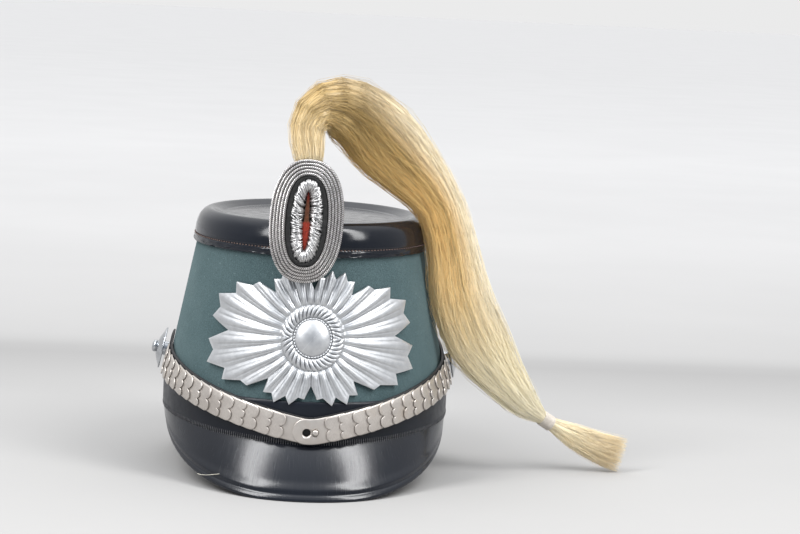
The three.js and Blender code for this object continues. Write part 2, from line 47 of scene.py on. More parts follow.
import bpy
import numpy as np
from mathutils import Matrix, Vector

# Measures repeated from the part's source

MM = 0.001
GAP = 0.3
FOOT = 4.2  # height of z 0 of these measures above the floor
CROWN = Group(
    base_z=55, base_half=(95, 108), top_z=147, top_half=(77, 89), waist=0.2, lean=3, wall=3, rim_z=162.5,
)
SEAM = Group(side_z=34, dip=5)
BAND = Group(thickness=1.4, top_z=56)
# Sections of the leather top: the distance beyond the crown's wall, and the height.
TOP_OUTSIDE = [
    (2.4, 147), (2.9, 150.4), (2.5, 151.8), (3.0, 153.4), (3.2, 158.5),
    (2.2, 164), (-0.6, 167.5), (-4, 168.5), (-9, 166.8), (-13, 165.2),
]
TOP_INSIDE = [(0.4, 147), (0.4, 163), (-8, 163), (-13, 163)]
TOP_MIDDLE = Group(outside=165.6, inside=163)
PEAK = Group(
    end_angle=89.3, wall_middle=3.6, wall_end=2.4, seam_out=1.5,
    bulge_out=0.58, bulge_down=0.4, rise=30, rise_power=1.45, slope=45,
)
PEAKS = {
    "front_peak": dict(turn=1, reach=23, narrowing=2.2, flat=15, rise_end=78),
    "rear_peak": dict(turn=-1, reach=18, narrowing=2, flat=20, rise_end=84),
}
# How far a peak's rows stand proud of its plain curve, from the lower edge to the seam.
PEAK_LIPS = {
    "front_peak": [
        (0, 0.2), (0.015, 0.75), (0.045, 1.0), (0.08, 0.75), (0.1, 0.3), (0.115, 0.25), (0.14, 0.5),
        (0.165, 0.8), (0.19, 0.9), (0.215, 0.85), (0.25, 0.5), (0.3, 0.05), (0.33, 0), (1, 0),
    ],
    "rear_peak": [(0, 0.3), (0.03, 0.6), (0.1, 0.3), (0.15, 0), (1, 0)],
}
STRAP = Group(
    front_z=37.6, rise=21.6, bend=0.05, radius=105, half_width=8.9,
    off=2.3, thickness=1.5, end_along=178, meet_along=3, settle=1.5, settle_from=128, settle_to=165,
)
SCALE = Group(count=14, half_width=8.3, off=4.2, thickness=0.9, ramp=1.85, overlap=4.6, arch=0.5)
LOBE_DEPTH = {2: 3.4, 3: 2.3}
SIDES = {
    "left": dict(sign=-1, first_edge=16.5, pitch=9.2),
    "right": dict(sign=1, first_edge=10.6, pitch=9.5),
}
LEFT_PLATE = Group(start=-21, end=6.4, half_width=8.1)
TONGUE = Group(tip=-11.2, end=15.2, level=5.5)
KEYHOLE = Group(hole_along=-1.9, hole_radius=2.7, slot_width=2.2, across=-0.6, depth=30)
STUD = Group(along=3.9, radius=2, clear_radius=2.4, base_off=5.95, height=2.2)
# Shares of the stud's radius and height.
STUD_PROFILE = [(0.005, 0), (1, 0), (1, 0.6), (0.94, 0.78), (0.75, 0.94), (0.4, 1.03), (0.005, 1.05)]
BOSS = Group(angle=89, off=4.1)
BOSS_PROFILE = [
    (0.01, 0), (5, 0), (5, 2.9), (13.9, 2.9), (14.2, 3.15), (14.2, 3.6), (13.9, 3.95), (13.2, 4.0),
    (12.6, 4.2), (11, 4.95), (8.8, 6), (6.6, 6.9), (5, 7.35), (4.2, 7.45), (3.9, 7.7), (4.1, 8.4),
    (4.2, 9.1), (3.8, 9.9), (2.9, 10.45), (1.5, 10.8), (0.01, 10.9),
]
PLATE = Group(centre_z=96.5, half_width=85, half_height=43, wrap_radius=92, back_off=1.6, groups=8)
RAY_LENGTHS = [0.9, 1, 1, 0.9]
RAY_VALLEY = Group(inside=0.88, between=0.7)
BADGE = Group(x=-7.1, z=171.1, tilt=2, back_y=-101.5, backing=1.4, power=2.4)
BADGE_AXES = dict(
    backing=(23.1, 39), cord_outer=(23.5, 39.4), cord_inner=(13.4, 29.1), black_outer=(13.1, 28.8),
    black_inner=(10, 26.8), bullion_outer=(9.7, 26.5), bullion_inner=(2.9, 19.8), core=(2.6, 19.4),
)
SOCKET = Group(x=-5, y=-97.95, bottom_z=149, top_z=200.8, half_width=4.4, half_depth=2.9)
# The plume's middle line, x y z, with the half width across its bend and the half depth.
PLUME_ROWS = np.array([
    (-5.3, -97, 201.3, 6.5, 3.6), (-7.5, -96.5, 217, 8.3, 4.6), (-8.5, -94, 230.5, 9.3, 6),
    (-1, -88, 241.5, 13, 7.5), (13.2, -78, 242, 18.5, 8.5), (28.4, -62, 234.2, 21, 9.5),
    (45.3, -48, 218.4, 23.2, 10), (64, -39, 200.5, 19.5, 10), (82.2, -36, 179.6, 15, 9.5),
    (92.4, -36, 151, 15.3, 9), (97.5, -36, 127, 18.5, 9), (104.5, -35, 106, 20, 9),
    (116, -32, 84, 19.5, 9), (132.5, -28, 62.3, 14, 8), (148, -25, 44.7, 8.8, 6),
    (161, -20, 34.7, 4.3, 3.8), (169.5, -17, 29.1, 4.3, 3.8), (186.5, -12, 20, 8.5, 5),
    (205, -9.5, 12, 11.5, 6), (221.5, -9, 7, 13.5, 5),
])
TIE = Group(row=15.5, half_length=4.5, reach=1.04, off=0.9, thread=0.55, turns=8, steps=24)

# Seeds of the random draws
SEED = Group(top=2, black_ring=3, bullion=5, core=9, plume=21, tie=31, hair=40, loose_hair=50)

shell_low, shell_high = (np.array(corner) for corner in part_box("crown_shell"))
AXIS = (shell_low + shell_high) / 2 * (1, 1, 0) + (0, 0, FOOT * MM)

# Mesh building: a part is a pair of points and a list of face arrays


def lerp(start, end, share):
    return start + (end - start) * share


def turns(count):
    return 2 * math.pi * np.arange(count) / count


def unit(vectors):
    return vectors / np.linalg.norm(vectors, axis=-1, keepdims=True)


def smooth_rows(rows, places):
    """A table's values at fractional row numbers, on a smooth curve through its rows."""
    rows = np.asarray(rows, float)
    last = len(rows) - 1
    first = np.clip(np.floor(places).astype(int), 0, last - 1)
    t = (places - first)[..., None]
    before, here, after, beyond = (rows[np.clip(first + step, 0, last)] for step in (-1, 0, 1, 2))
    square = 2 * before - 5 * here + 4 * after - beyond
    cube = 3 * (here - after) + beyond - before
    return here + 0.5 * ((after - before) * t + square * t**2 + cube * t**3)


def grid_quads(numbers, closed=False):
    """Quads of a grid of vertex numbers. They face the way of columns x rows."""
    if closed:
        numbers = np.hstack([numbers, numbers[:, :1]])
    first, second = numbers[:-1], numbers[1:]
    quads = [first[:, :-1], first[:, 1:], second[:, 1:], second[:, :-1]]
    return np.stack(quads, axis=-1).reshape(-1, 4)


def numbered(points):
    """Vertex numbers of a grid of points."""
    return np.arange(points.shape[0] * points.shape[1]).reshape(points.shape[:2])


def sheet_part(front, back, closed=False):
    """A closed sheet between a front and a back grid of points."""
    numbers = numbered(front)
    behind = numbers + numbers.size
    rims = [(behind[0], numbers[0]), (numbers[-1], behind[-1])]
    faces = [grid_quads(numbers, closed), grid_quads(behind, closed)[:, ::-1]]
    faces += [grid_quads(np.stack(rim), closed) for rim in rims]
    if not closed:
        sides = [(numbers[:, 0], behind[:, 0]), (behind[:, -1], numbers[:, -1])]
        faces += [grid_quads(np.stack(side)) for side in sides]
    return np.concatenate([front.reshape(-1, 3), back.reshape(-1, 3)]), faces


def lofted_part(rings):
    """A closed solid through rings of points, with a flat face on the first and the last ring."""
    numbers = numbered(rings)
    return rings.reshape(-1, 3), [grid_quads(numbers, closed=True), numbers[:1, ::-1], numbers[-1:]]


def ring_part(rings):
    """A closed solid of rings that come round to the first one again."""
    numbers = numbered(rings)
    return rings.reshape(-1, 3), [grid_quads(np.vstack([numbers, numbers[:1]]), closed=True)]


def tubes_part(paths, radii, sides, aside=(0, 1, 0), closed=False, roll=0.0):
    """Closed tubes along paths (tubes x stations x 3). aside is a direction that no path follows."""
    if closed:
        along = unit(np.roll(paths, -1, axis=1) - np.roll(paths, 1, axis=1))
    else:
        along = unit(np.gradient(paths, axis=1))
    side = unit(np.cross(along, np.asarray(aside, float)))
    lift = np.cross(side, along)
    angle = turns(sides) + np.reshape(roll, (-1, 1, 1))
    spoke = np.cos(angle)[..., None] * side[:, :, None] + np.sin(angle)[..., None] * lift[:, :, None]
    points = paths[:, :, None] + np.asarray(radii)[..., None, None] * spoke
    numbers = numbered(points[0])
    starts = (np.arange(len(paths)) * numbers.size)[:, None, None]
    if closed:
        numbers = np.vstack([numbers, numbers[:1]])
    faces = [(grid_quads(numbers, closed=True)[None] + starts).reshape(-1, 4)]
    if not closed:
        faces.append((numbers[:1, ::-1][None] + starts).reshape(-1, sides))
        faces.append((numbers[-1:][None] + starts).reshape(-1, sides))
    return points.reshape(-1, 3), faces


def revolved_part(profile, sides, foot, outward):
    """A solid of revolution that stands at foot along outward. The profile lists radius and height."""
    radius, height = np.asarray(profile, float).T[..., None]
    angle = turns(sides)
    rings = np.stack([radius * np.cos(angle), radius * np.sin(angle), height + 0 * angle], axis=-1)
    rotation = np.array(Vector(outward).to_track_quat("Z", "Y").to_matrix())
    return lofted_part(rings @ rotation.T + foot)


def joined(parts):
    points, faces, start = [], [], 0
    for part_points, part_faces in parts:
        points.append(part_points)
        faces.extend(face + start for face in part_faces)
        start += len(part_points)
    return np.concatenate(points), faces


def new_mesh(name, part):
    points, faces = part
    mesh = bpy.data.meshes.new(name)
    sizes = np.concatenate([np.full(len(face), face.shape[1]) for face in faces])
    corners = np.concatenate([face.ravel() for face in faces])
    mesh.vertices.add(len(points))
    mesh.vertices.foreach_set("co", (points * MM + AXIS).ravel())
    mesh.loops.add(len(corners))
    mesh.loops.foreach_set("vertex_index", corners.astype(np.int32))
    mesh.polygons.add(len(sizes))
    mesh.polygons.foreach_set("loop_start", (np.cumsum(sizes) - sizes).astype(np.int32))
    mesh.update(calc_edges=True)
    return mesh


def placed(name, data):
    """A new object in the scene."""
    made = bpy.data.objects.new(name, data)
    bpy.context.scene.collection.objects.link(made)
    return made


def piece(name, part, finish, stands_for=(), sharp=40, surface=None, tones=None):
    """A piece of the object. surface holds flat places in mm for streaks, tones a colour for each point."""
    mesh = new_mesh(name, part)
    if surface is not None:
        layer = mesh.attributes.new("surface", "FLOAT_VECTOR", "POINT")
        layer.data.foreach_set("vector", surface.ravel().astype(np.float32))
    if tones is not None:
        layer = mesh.attributes.new("tone", "FLOAT_COLOR", "POINT")
        layer.data.foreach_set("color", np.insert(tones, 3, 1, axis=1).ravel().astype(np.float32))
    mesh.shade_smooth()
    mesh.set_sharp_from_angle(angle=math.radians(sharp))
    mesh.materials.append(FINISH[finish].owner)
    made = placed(name, mesh)
    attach(made, "root")
    if stands_for:
        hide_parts(*stands_for)
    return made


# Materials

COLOUR_MIX = (0, 6, 7)  # a mix node's sockets for the factor and two colours


class Look:
    """The nodes of a material or of the world, and the shader that they feed."""

    def __init__(self, owner, shader, **constants):
        owner.use_nodes = True
        self.owner = owner
        self.tree = owner.node_tree
        self.shader = self.tree.nodes[shader]
        self.set(**constants)

    def put(self, value, socket):
        """Sets a socket to a constant, or links an output to it."""
        if isinstance(value, bpy.types.NodeSocket):
            self.tree.links.new(value, socket)
        else:
            socket.default_value = value

    def feed(self, target, **inputs):
        """Puts values on a node's sockets. An underscore stands for a space in a socket's name."""
        for key, value in inputs.items():
            self.put(value, target.inputs[key.replace("_", " ")])

    def set(self, **inputs):
        self.feed(self.shader, **inputs)

    def node(self, kind, settings=(), **inputs):
        added = self.tree.nodes.new(kind)
        for key, value in dict(settings).items():
            setattr(added, key, value)
        self.feed(added, **inputs)
        return added

    def place(self):
        """Texture places in metres."""
        return self.node("ShaderNodeTexCoord").outputs["Object"]

    def attribute(self, name, output):
        return self.node("ShaderNodeAttribute", dict(attribute_name=name)).outputs[output]

    def noise(self, scale, detail=3.0, rough=0.55, place=None):
        place = self.place() if place is None else place
        added = self.node("ShaderNodeTexNoise", Vector=place, Scale=scale, Detail=detail, Roughness=rough)
        return added.outputs["Fac"]

    def streaks(self, stretch, slant=0):
        """Noise drawn out on a piece's flat surface places in millimetres, at a slant in degrees."""
        places = self.attribute("surface", "Vector")
        turn = (0, 0, math.radians(slant))
        mapping = self.node("ShaderNodeMapping", Vector=places, Scale=stretch, Rotation=turn)
        return self.noise(1.0, 4, 0.7, mapping.outputs["Vector"])

    def ramp(self, factor, *stops):
        """A colour ramp: each stop is a place and a colour, or a place and a grey."""
        added = self.node("ShaderNodeValToRGB", Fac=factor)
        elements = added.color_ramp.elements
        while len(elements) < len(stops):
            elements.new(0.5)
        for element, (place, colour) in zip(elements, stops):
            element.position = place
            element.color = (*colour, 1) if isinstance(colour, tuple) else (colour, colour, colour, 1)
        return added.outputs["Color"]

    def mottled(self, grain, *stops):
        """A ramp over noise. grain is the noise's scale, with its detail and roughness if need be."""
        return self.ramp(self.noise(*grain), *stops)

    def mix(self, first, second, factor=1.0, kind="MULTIPLY"):
        added = self.node("ShaderNodeMix", dict(data_type="RGBA", blend_type=kind))
        for index, value in zip(COLOUR_MIX, (factor, first, second)):
            self.put(value, added.inputs[index])
        return added.outputs[2]

    def bump(self, height, depth, strength):
        """Adds relief of a depth in millimetres on top of any that the shader has."""
        normal = self.shader.inputs["Normal"]
        added = self.node("ShaderNodeBump", Height=height, Strength=strength, Distance=depth * MM)
        if normal.is_linked:
            self.feed(added, Normal=normal.links[0].from_socket)
        self.set(Normal=added.outputs["Normal"])


def material(name, **constants):
    """The look of a new material with these constants on its shader."""
    return Look(bpy.data.materials.new(name), "Principled BSDF", **constants)


def felt_look():
    look = material(
        "felt", Roughness=0.95, Sheen_Weight=0.18, Sheen_Roughness=0.5, Sheen_Tint=(0.45, 0.62, 0.62, 1),
        Specular_IOR_Level=0.2,
    )
    shade = look.mottled((28, 4), (0.3, (0.056, 0.091, 0.097)), (0.7, (0.077, 0.117, 0.123)))
    fibre = look.mottled((1500, 4, 0.7), (0.25, 0.45), (0.5, 0.95), (0.8, 1.6))
    lint = look.mottled((620, 2), (0.7, 0.0), (0.76, 1.0))
    look.set(Base_Color=look.mix(look.mix(shade, fibre), (0.16, 0.22, 0.22, 1), lint, "MIX"))
    look.bump(look.noise(1100, 5, 0.7), 0.35, 0.7)
    look.bump(look.noise(160), 0.5, 0.35)
    return look


def lacquer_look(name, shine, gloss, streaked=False):
    """Black lacquer. gloss is the pair of roughness limits, and streaks run up a peak's slope."""
    look = material(name, Specular_IOR_Level=shine, Coat_Weight=shine / 3, Coat_Roughness=0.12)
    scuffs = look.mottled((55, 6, 0.7), (0.66, 0.0), (0.82, 1.0))
    tone = look.mottled((16, 4), (0.3, (0.0042, 0.0055, 0.009)), (0.75, (0.0075, 0.010, 0.016)))
    worn = look.streaks((1.6, 0.05, 1)) if streaked else look.noise(120, 5, 0.65)
    look.set(
        Base_Color=look.mix(tone, (0.045, 0.046, 0.05, 1), scuffs, "MIX"),
        Roughness=look.ramp(worn, (0.3, gloss[0]), (0.75, gloss[1])),
    )
    if streaked:
        look.bump(worn, 0.05, 0.5)
    look.bump(look.noise(45), 0.25, 0.2)
    look.bump(look.noise(700), 0.04, 0.3)
    return look


def leather_look():
    look = material("strap_leather", Roughness=0.55, Specular_IOR_Level=0.45)
    look.set(Base_Color=look.mottled((90, 4), (0.3, (0.006, 0.006, 0.007)), (0.75, (0.016, 0.016, 0.017))))
    grain = look.node("ShaderNodeTexVoronoi", Vector=look.place(), Scale=900.0)
    look.bump(grain.outputs["Distance"], 0.15, 0.5)
    return look


def brushed_look():
    """Satin metal with fine brushing across it and a dull, slightly yellowed film in places."""
    look = material("brushed_scale", Metallic=0.9)
    lines = look.streaks((9, 0.5, 1), -40)
    film = [(0.3, (0.55, 0.505, 0.465)), (0.55, (0.64, 0.595, 0.55)), (0.8, (0.56, 0.485, 0.41))]
    look.set(
        Base_Color=look.mix(look.mottled((60, 4, 0.6), *film), look.ramp(lines, (0.3, 0.66), (0.7, 1.14))),
        Roughness=look.ramp(lines, (0.25, 0.36), (0.75, 0.52)),
    )
    look.bump(lines, 0.03, 0.6)
    return look


def grained_look(
    name, dark, light, grain, spread, relief=None, roughness=None, hollows=None, toned=False, **constants
):
    """Noise between two tones. relief is the noise, the depth and the strength of its bumps.

    roughness is a noise with its stops, and hollows darken the tone by stops of the surface's pointiness.
    A toned piece brings colours of its own, which the two tones then shade.
    """
    look = material(name, **constants)
    tone = look.mottled(grain, (spread[0], dark), (spread[1], light))
    if toned:
        tone = look.mix(look.attribute("tone", "Color"), tone)
    if hollows:
        pointiness = look.node("ShaderNodeNewGeometry").outputs["Pointiness"]
        tone = look.mix(tone, look.ramp(pointiness, *hollows))
    look.set(Base_Color=tone)
    if roughness:
        look.set(Roughness=look.mottled(*roughness))
    if relief:
        look.bump(look.noise(*relief[0]), *relief[1:])
    return look


BRIGHT = dict(
    grain=(80, 4), spread=(0.3, 0.7), relief=((200,), 0.03, 0.4), Metallic=1.0,
    roughness=((300, 4), (0.3, 0.1), (0.8, 0.24)),
)
CAST = dict(
    grain=(240, 5), spread=(0.3, 0.7), relief=((900, 4), 0.08, 0.5), Metallic=0.85,
    roughness=((500,), (0.3, 0.36), (0.7, 0.5)), hollows=[(0.44, 0.62), (0.5, 0.95), (0.56, 1.1)],
)
WIRE = dict(grain=(900, 3, 0.6), spread=(0.3, 0.68), relief=((3000, 2), 0.08, 0.7), Metallic=0.85)
WOOL = dict(
    grain=(700, 4, 0.7), spread=(0.3, 0.72), relief=((1800, 3, 0.7), 0.4, 0.8),
    Roughness=0.95, Sheen_Weight=0.2, Specular_IOR_Level=0.2,
)
THREAD = dict(
    grain=(1400,), spread=(0.3, 0.7), relief=((2600, 2), 0.12, 0.6), Roughness=0.8, Specular_IOR_Level=0.3,
)
HAIR_LOOK = dict(grain=(25, 2), spread=(0.3, 0.7), toned=True, Roughness=0.38, Specular_IOR_Level=0.5)

FINISH = dict(
    felt=felt_look(),
    top=lacquer_look("top_leather", shine=0.29, gloss=(0.1, 0.26)),
    band=lacquer_look("band_leather", shine=0.2, gloss=(0.3, 0.5)),
    peak=lacquer_look("peak_lacquer", shine=0.4, gloss=(0.14, 0.32), streaked=True),
    strap=leather_look(),
    scale=brushed_look(),
    boss=grained_look("bright_boss", (0.40, 0.415, 0.44), (0.51, 0.525, 0.54), **BRIGHT),
    plate=grained_look("cast_plate", (0.48, 0.49, 0.505), (0.58, 0.59, 0.60), **CAST),
    cord=grained_look("twisted_wire", (0.42, 0.40, 0.39), (0.76, 0.74, 0.73), Roughness=0.3, **WIRE),
    dark_wire=grained_look("dark_wire", (0.06, 0.057, 0.056), (0.19, 0.18, 0.175), Roughness=0.45, **WIRE),
    bullion=grained_look("bullion_wire", (0.40, 0.395, 0.395), (0.72, 0.71, 0.705), Roughness=0.3, **WIRE),
    black=grained_look("black_wool", 0.008, 0.033, **WOOL),
    red=grained_look("red_wool", (0.22, 0.17, 0.15), (0.50, 0.38, 0.33), toned=True, **WOOL),
    hair=grained_look("plume_hair", 0.95, 1.05, **HAIR_LOOK),
    thread=grained_look("pale_thread", (0.43, 0.385, 0.33), (0.70, 0.645, 0.58), **THREAD),
    brown_thread=grained_look("brown_thread", (0.08, 0.052, 0.045), (0.22, 0.15, 0.125), **THREAD),
    grey_thread=grained_look("grey_thread", (0.06, 0.06, 0.063), (0.2, 0.2, 0.205), **THREAD),
)

# Crown


def crown_point(angle, z, off=0.0):
    """Points at heights on the crown, off beyond its wall. Angle 0 is the front, and a quarter turn is +X."""
    angle, z, off = np.broadcast_arrays(np.asarray(angle, float), z, off)
    up = np.maximum((z - CROWN.base_z) / (CROWN.top_z - CROWN.base_z), 0)
    inside = np.minimum(up, 1)
    drawn = CROWN.waist * 4 * inside * (1 - inside)
    half_width = lerp(CROWN.base_half[0], CROWN.top_half[0], up) - drawn + off
    half_depth = lerp(CROWN.base_half[1], CROWN.top_half[1], up) - drawn + off
    y = -half_depth * np.cos(angle) - CROWN.lean * up
    return np.stack([half_width * np.sin(angle), y, np.asarray(z, float)], axis=-1)


def seam_z(angle):
    return SEAM.side_z - SEAM.dip * np.cos(angle) ** 2


AROUND = 200  # points round the crown


def felt_crown():
    angles = turns(AROUND)
    shares = np.linspace(0, 1, 44)[:, None]
    heights = lerp(seam_z(angles) + 2 * GAP, CROWN.rim_z, shares)
    uneven = 0.22 * np.sin(3 * angles + 1) * np.sin(5 * shares + 2 * np.sin(angles))
    front = crown_point(angles, heights, uneven)
    part = sheet_part(front, crown_point(angles, heights, -CROWN.wall), closed=True)
    piece("felt_crown", part, "felt", ["crown_shell"])


def disc_rows(ring, middle_z, shares):
    """Rings that shrink from a ring to its middle, while their height goes to middle_z."""
    middle = ring.mean(axis=0)
    middle[2] = middle_z
    return middle + (ring - middle) * np.asarray(shares)[:, None, None]


DISC_SHARES = [0.92, 0.8, 0.65, 0.5, 0.35, 0.2, 0.1, 0.02]
LIP = Group(crinkle=0.24, pucker=0.1, puckers=47, fade=4)  # the skirt's uneven lower lip


def leather_top():
    angles = turns(AROUND)
    outside = smooth_rows(TOP_OUTSIDE, np.linspace(0, len(TOP_OUTSIDE) - 1, 64))
    rng = np.random.default_rng(SEED.top)
    crinkle = rng.normal(0, LIP.crinkle, (len(outside), len(angles)))
    pucker = LIP.pucker * np.sin(LIP.puckers * angles) * np.sin(5 * angles + 1) + crinkle
    near_lip = np.clip(1.3 - (outside[:, 1] - TOP_OUTSIDE[0][1]) / LIP.fade, 0, 1)
    face = crown_point(angles, outside[:, 1:], outside[:, :1] + near_lip[:, None] * pucker)
    dent = disc_rows(face[-1], TOP_MIDDLE.outside, DISC_SHARES)
    inside = np.asarray(TOP_INSIDE, float)
    under = crown_point(angles, inside[:, 1:], inside[:, :1])
    ceiling = disc_rows(under[-1], TOP_MIDDLE.inside, DISC_SHARES)
    rings = np.concatenate([ceiling[::-1], under[::-1], face, dent])
    piece("leather_top", lofted_part(rings), "top", ["crown_top"])


# Rows of the band: the share of its height, and how far it stands off the crown.
BAND_ROWS = np.array([(0, 1.5), (0.02, 1.7), (0.3, 1.7), (0.7, 1.7), (0.93, 1.7), (0.98, 1.5), (1, 1.0)])


def base_band():
    angles = turns(AROUND)
    heights = lerp(seam_z(angles) + GAP, BAND.top_z, BAND_ROWS[:, :1])
    front = crown_point(angles, heights, BAND_ROWS[:, 1:])
    part = sheet_part(front, crown_point(angles, heights, GAP), closed=True)
    piece("leather_band", part, "band", ["base_band"])


def peak_points(name, angles, up, off=0.0):
    """Points of a peak's outer face at angles in radians, from its edge (up 0) to the seam (up 1)."""
    shape = PEAKS[name]
    climb = (np.abs(angles) - math.radians(shape["flat"])) / math.radians(shape["rise_end"] - shape["flat"])
    edge_z = PEAK.rise * np.clip(climb, 0, 1) ** PEAK.rise_power - FOOT
    edge_out = shape["reach"] * np.cos(angles) ** shape["narrowing"]
    bulge_out = lerp(PEAK.seam_out, edge_out, PEAK.bulge_out)
    bulge_z = lerp(seam_z(angles), edge_z, PEAK.bulge_down)
    lip = np.interp(up, *np.array(PEAK_LIPS[name]).T) * np.cos(angles)

    def mix(edge, bulge, seam):
        return lerp(lerp(edge, bulge, up), lerp(bulge, seam, up), up)

    out = mix(edge_out, bulge_out, PEAK.seam_out) + lip + off
    points = crown_point(angles, 0 * out, out)
    points[..., 2] = mix(edge_z, bulge_z, seam_z(angles))
    points[..., :2] *= shape["turn"]
    return points


def peak(name):
    angles = np.radians(np.linspace(-PEAK.end_angle, PEAK.end_angle, 150))
    up = np.concatenate([np.linspace(0, 0.2, 26), np.linspace(0.23, 1, 26)])[:, None]
    wall = lerp(PEAK.wall_end, PEAK.wall_middle, np.cos(angles))
    part = sheet_part(peak_points(name, angles, up), peak_points(name, angles, up, -wall))
    around, upward = np.broadcast_arrays(angles * STRAP.radius, up * PEAK.slope)
    places = np.stack([around, upward, 0 * around], axis=-1)
    piece(name + "_shell", part, "peak", [name], surface=np.stack([places, places]))


# Chin scales


def strap_point(along, across, off):
    """Points on the chin strap: along from the front, across from its middle line, off the crown's wall."""
    along, across, off = np.broadcast_arrays(np.asarray(along, float), across, off)
    angle = along / STRAP.radius
    bend = np.hypot(angle, STRAP.bend)
    tilt = np.arctan(STRAP.rise * angle / bend / STRAP.radius)
    middle_z = STRAP.front_z + STRAP.rise * (bend - STRAP.bend)
    turned = angle - across * np.sin(tilt) / STRAP.radius
    start, end = STRAP.settle_from, STRAP.settle_to
    share = np.clip((np.abs(along) - start) / (end - start), 0, 1)
    settled = STRAP.settle * share**2 * (3 - 2 * share)
    return crown_point(turned, middle_z + across * np.cos(tilt), off - settled)


def arch(across):
    return SCALE.arch * (1 - (across / SCALE.half_width) ** 2)


# Rows of the backing strap: the share of its half width, and of its thickness.
STRAP_ROWS = np.array([(-1, 0.45), (-0.97, 0.85), (-0.9, 1), (0, 1), (0.9, 1), (0.97, 0.85), (1, 0.45)])


def backing_strap(side, start, end):
    alongs = np.linspace(start, end, 110)
    across = STRAP_ROWS[:, :1] * STRAP.half_width
    front = strap_point(alongs, across, STRAP.off + STRAP.thickness * STRAP_ROWS[:, 1:])
    part = sheet_part(front, strap_point(alongs, across, STRAP.off))
    piece(f"strap_{side}_leather", part, "strap", [f"strap_{side}"])


def plate_piece(name, along, across, off, round_off):
    """A metal plate on the strap. round_off lowers its face along the edges."""
    along, across = np.broadcast_arrays(along, across)
    base = off + arch(across)
    part = sheet_part(
        strap_point(along, across, base + SCALE.thickness - round_off), strap_point(along, across, base),
    )
    places = np.stack([along, across, 0 * along], axis=-1)
    surface = np.stack([places, places])
    return piece(name + "_metal", part, "scale", [name], sharp=50, surface=surface)


# Rows of a scale from its free edge to its root: the share of its length, and how far it is rounded off.
SCALE_STEPS = np.array([0, 0.012, 0.035, 0.08, 0.2, 0.45, 0.7, 1])
SCALE_SUNK = np.array([0.6, 0.28, 0.08, 0, 0, 0, 0, 0])


def chin_scale(side, sign, first_edge, pitch, index):
    lobes = 2 if index % 2 == 0 else 3
    free = first_edge + index * pitch
    root = free + pitch + SCALE.overlap
    share = np.linspace(-1, 1, lobes * 14 + 1)[:, None]
    in_lobe = ((share + 1) / 2 * lobes % 1) * 2 - 1
    notch = LOBE_DEPTH[lobes] * (1 - np.sqrt(np.maximum(1 - in_lobe**2, 0)))
    distance = lerp(free + notch, root, SCALE_STEPS)
    off = SCALE.off + SCALE.ramp * (root - distance) / (root - free)
    edge = np.where(np.abs(share) > 0.985, 0.35, 0)
    sunk = np.maximum(SCALE_SUNK, edge)
    columns = slice(None, None, sign)
    along = sign * distance[:, columns]
    across = share * SCALE.half_width
    plate_piece(f"scale_{side}_{index + 1:02d}", along, across, off[:, columns], sunk[:, columns])


def cut(target, cutters):
    """Takes the cutters out of a piece for good."""
    for cutter in cutters:
        modifier = target.modifiers.new("cut", "BOOLEAN")
        modifier.object = cutter
        modifier.operation = "DIFFERENCE"
        modifier.solver = "EXACT"
    evaluated = target.evaluated_get(bpy.context.evaluated_depsgraph_get())
    old_mesh = target.data
    target.data = bpy.data.meshes.new_from_object(evaluated)
    target.modifiers.clear()
    bpy.data.meshes.remove(old_mesh)


def keyhole_cutter(half_length, radius, along):
    """A bar with round ends, square to the crown's front, that cuts through the plates."""
    angle = turns(48)
    x = radius * np.cos(angle) + half_length * np.sign(np.cos(angle))
    ring = np.stack([x, 0 * angle, radius * np.sin(angle)], axis=-1)
    ends = np.array([KEYHOLE.depth / 2, -KEYHOLE.depth / 2])[:, None, None] * (0, 1, 0)
    foot = strap_point(along, KEYHOLE.across, STRAP.off)
    return placed("cutter", new_mesh("cutter", lofted_part(foot + ring + ends)))


def end_plates():
    """The plain left end, and over it the right tongue with a keyhole for the stud."""
    share = np.array([-1, -0.97, -0.9, -0.6, -0.3, 0, 0.3, 0.6, 0.9, 0.97, 1])[:, None]
    edge = np.interp(np.abs(share), [0.9, 0.97, 1], [0, 0.1, 0.4])
    alongs = np.linspace(LEFT_PLATE.start, LEFT_PLATE.end, 20)
    left = plate_piece("end_plate_left", alongs, share * LEFT_PLATE.half_width, SCALE.off, edge)

    half = SCALE.half_width
    round_middle = TONGUE.tip + half
    turn = np.linspace(math.pi / 2 * 0.97, 0, 18)
    straight = np.linspace(round_middle, TONGUE.end, 14)[1:]
    columns = np.concatenate([round_middle - half * np.sin(turn), straight])
    halves = np.concatenate([half * np.cos(turn), np.full(len(straight), half)])
    slope = SCALE.ramp / (SIDES["right"]["pitch"] + SCALE.overlap)
    off = np.minimum(SCALE.off + slope * (TONGUE.end - columns), TONGUE.level)
    sunk = np.maximum(edge, np.interp(np.arange(len(columns)), [0, 2, 4], [0.6, 0.2, 0]))
    tongue = plate_piece("end_plate_right", columns, share * halves, off, sunk)

    slot_half = (STUD.along - KEYHOLE.hole_along) / 2
    cutters = [
        keyhole_cutter(0, KEYHOLE.hole_radius, KEYHOLE.hole_along),
        keyhole_cutter(0, STUD.clear_radius, STUD.along),
        keyhole_cutter(slot_half, KEYHOLE.slot_width / 2, KEYHOLE.hole_along + slot_half),
    ]
    cut(left, cutters[:1])
    cut(tongue, cutters)
    for cutter in cutters:
        bpy.data.objects.remove(cutter)


def strap_stud():
    foot = strap_point(STUD.along, KEYHOLE.across, STUD.base_off)
    part = revolved_part(np.array(STUD_PROFILE) * (STUD.radius, STUD.height), 32, foot, (0, -1, 0))
    piece("strap_stud_head", part, "scale", ["strap_stud"], surface=part[0] - foot)


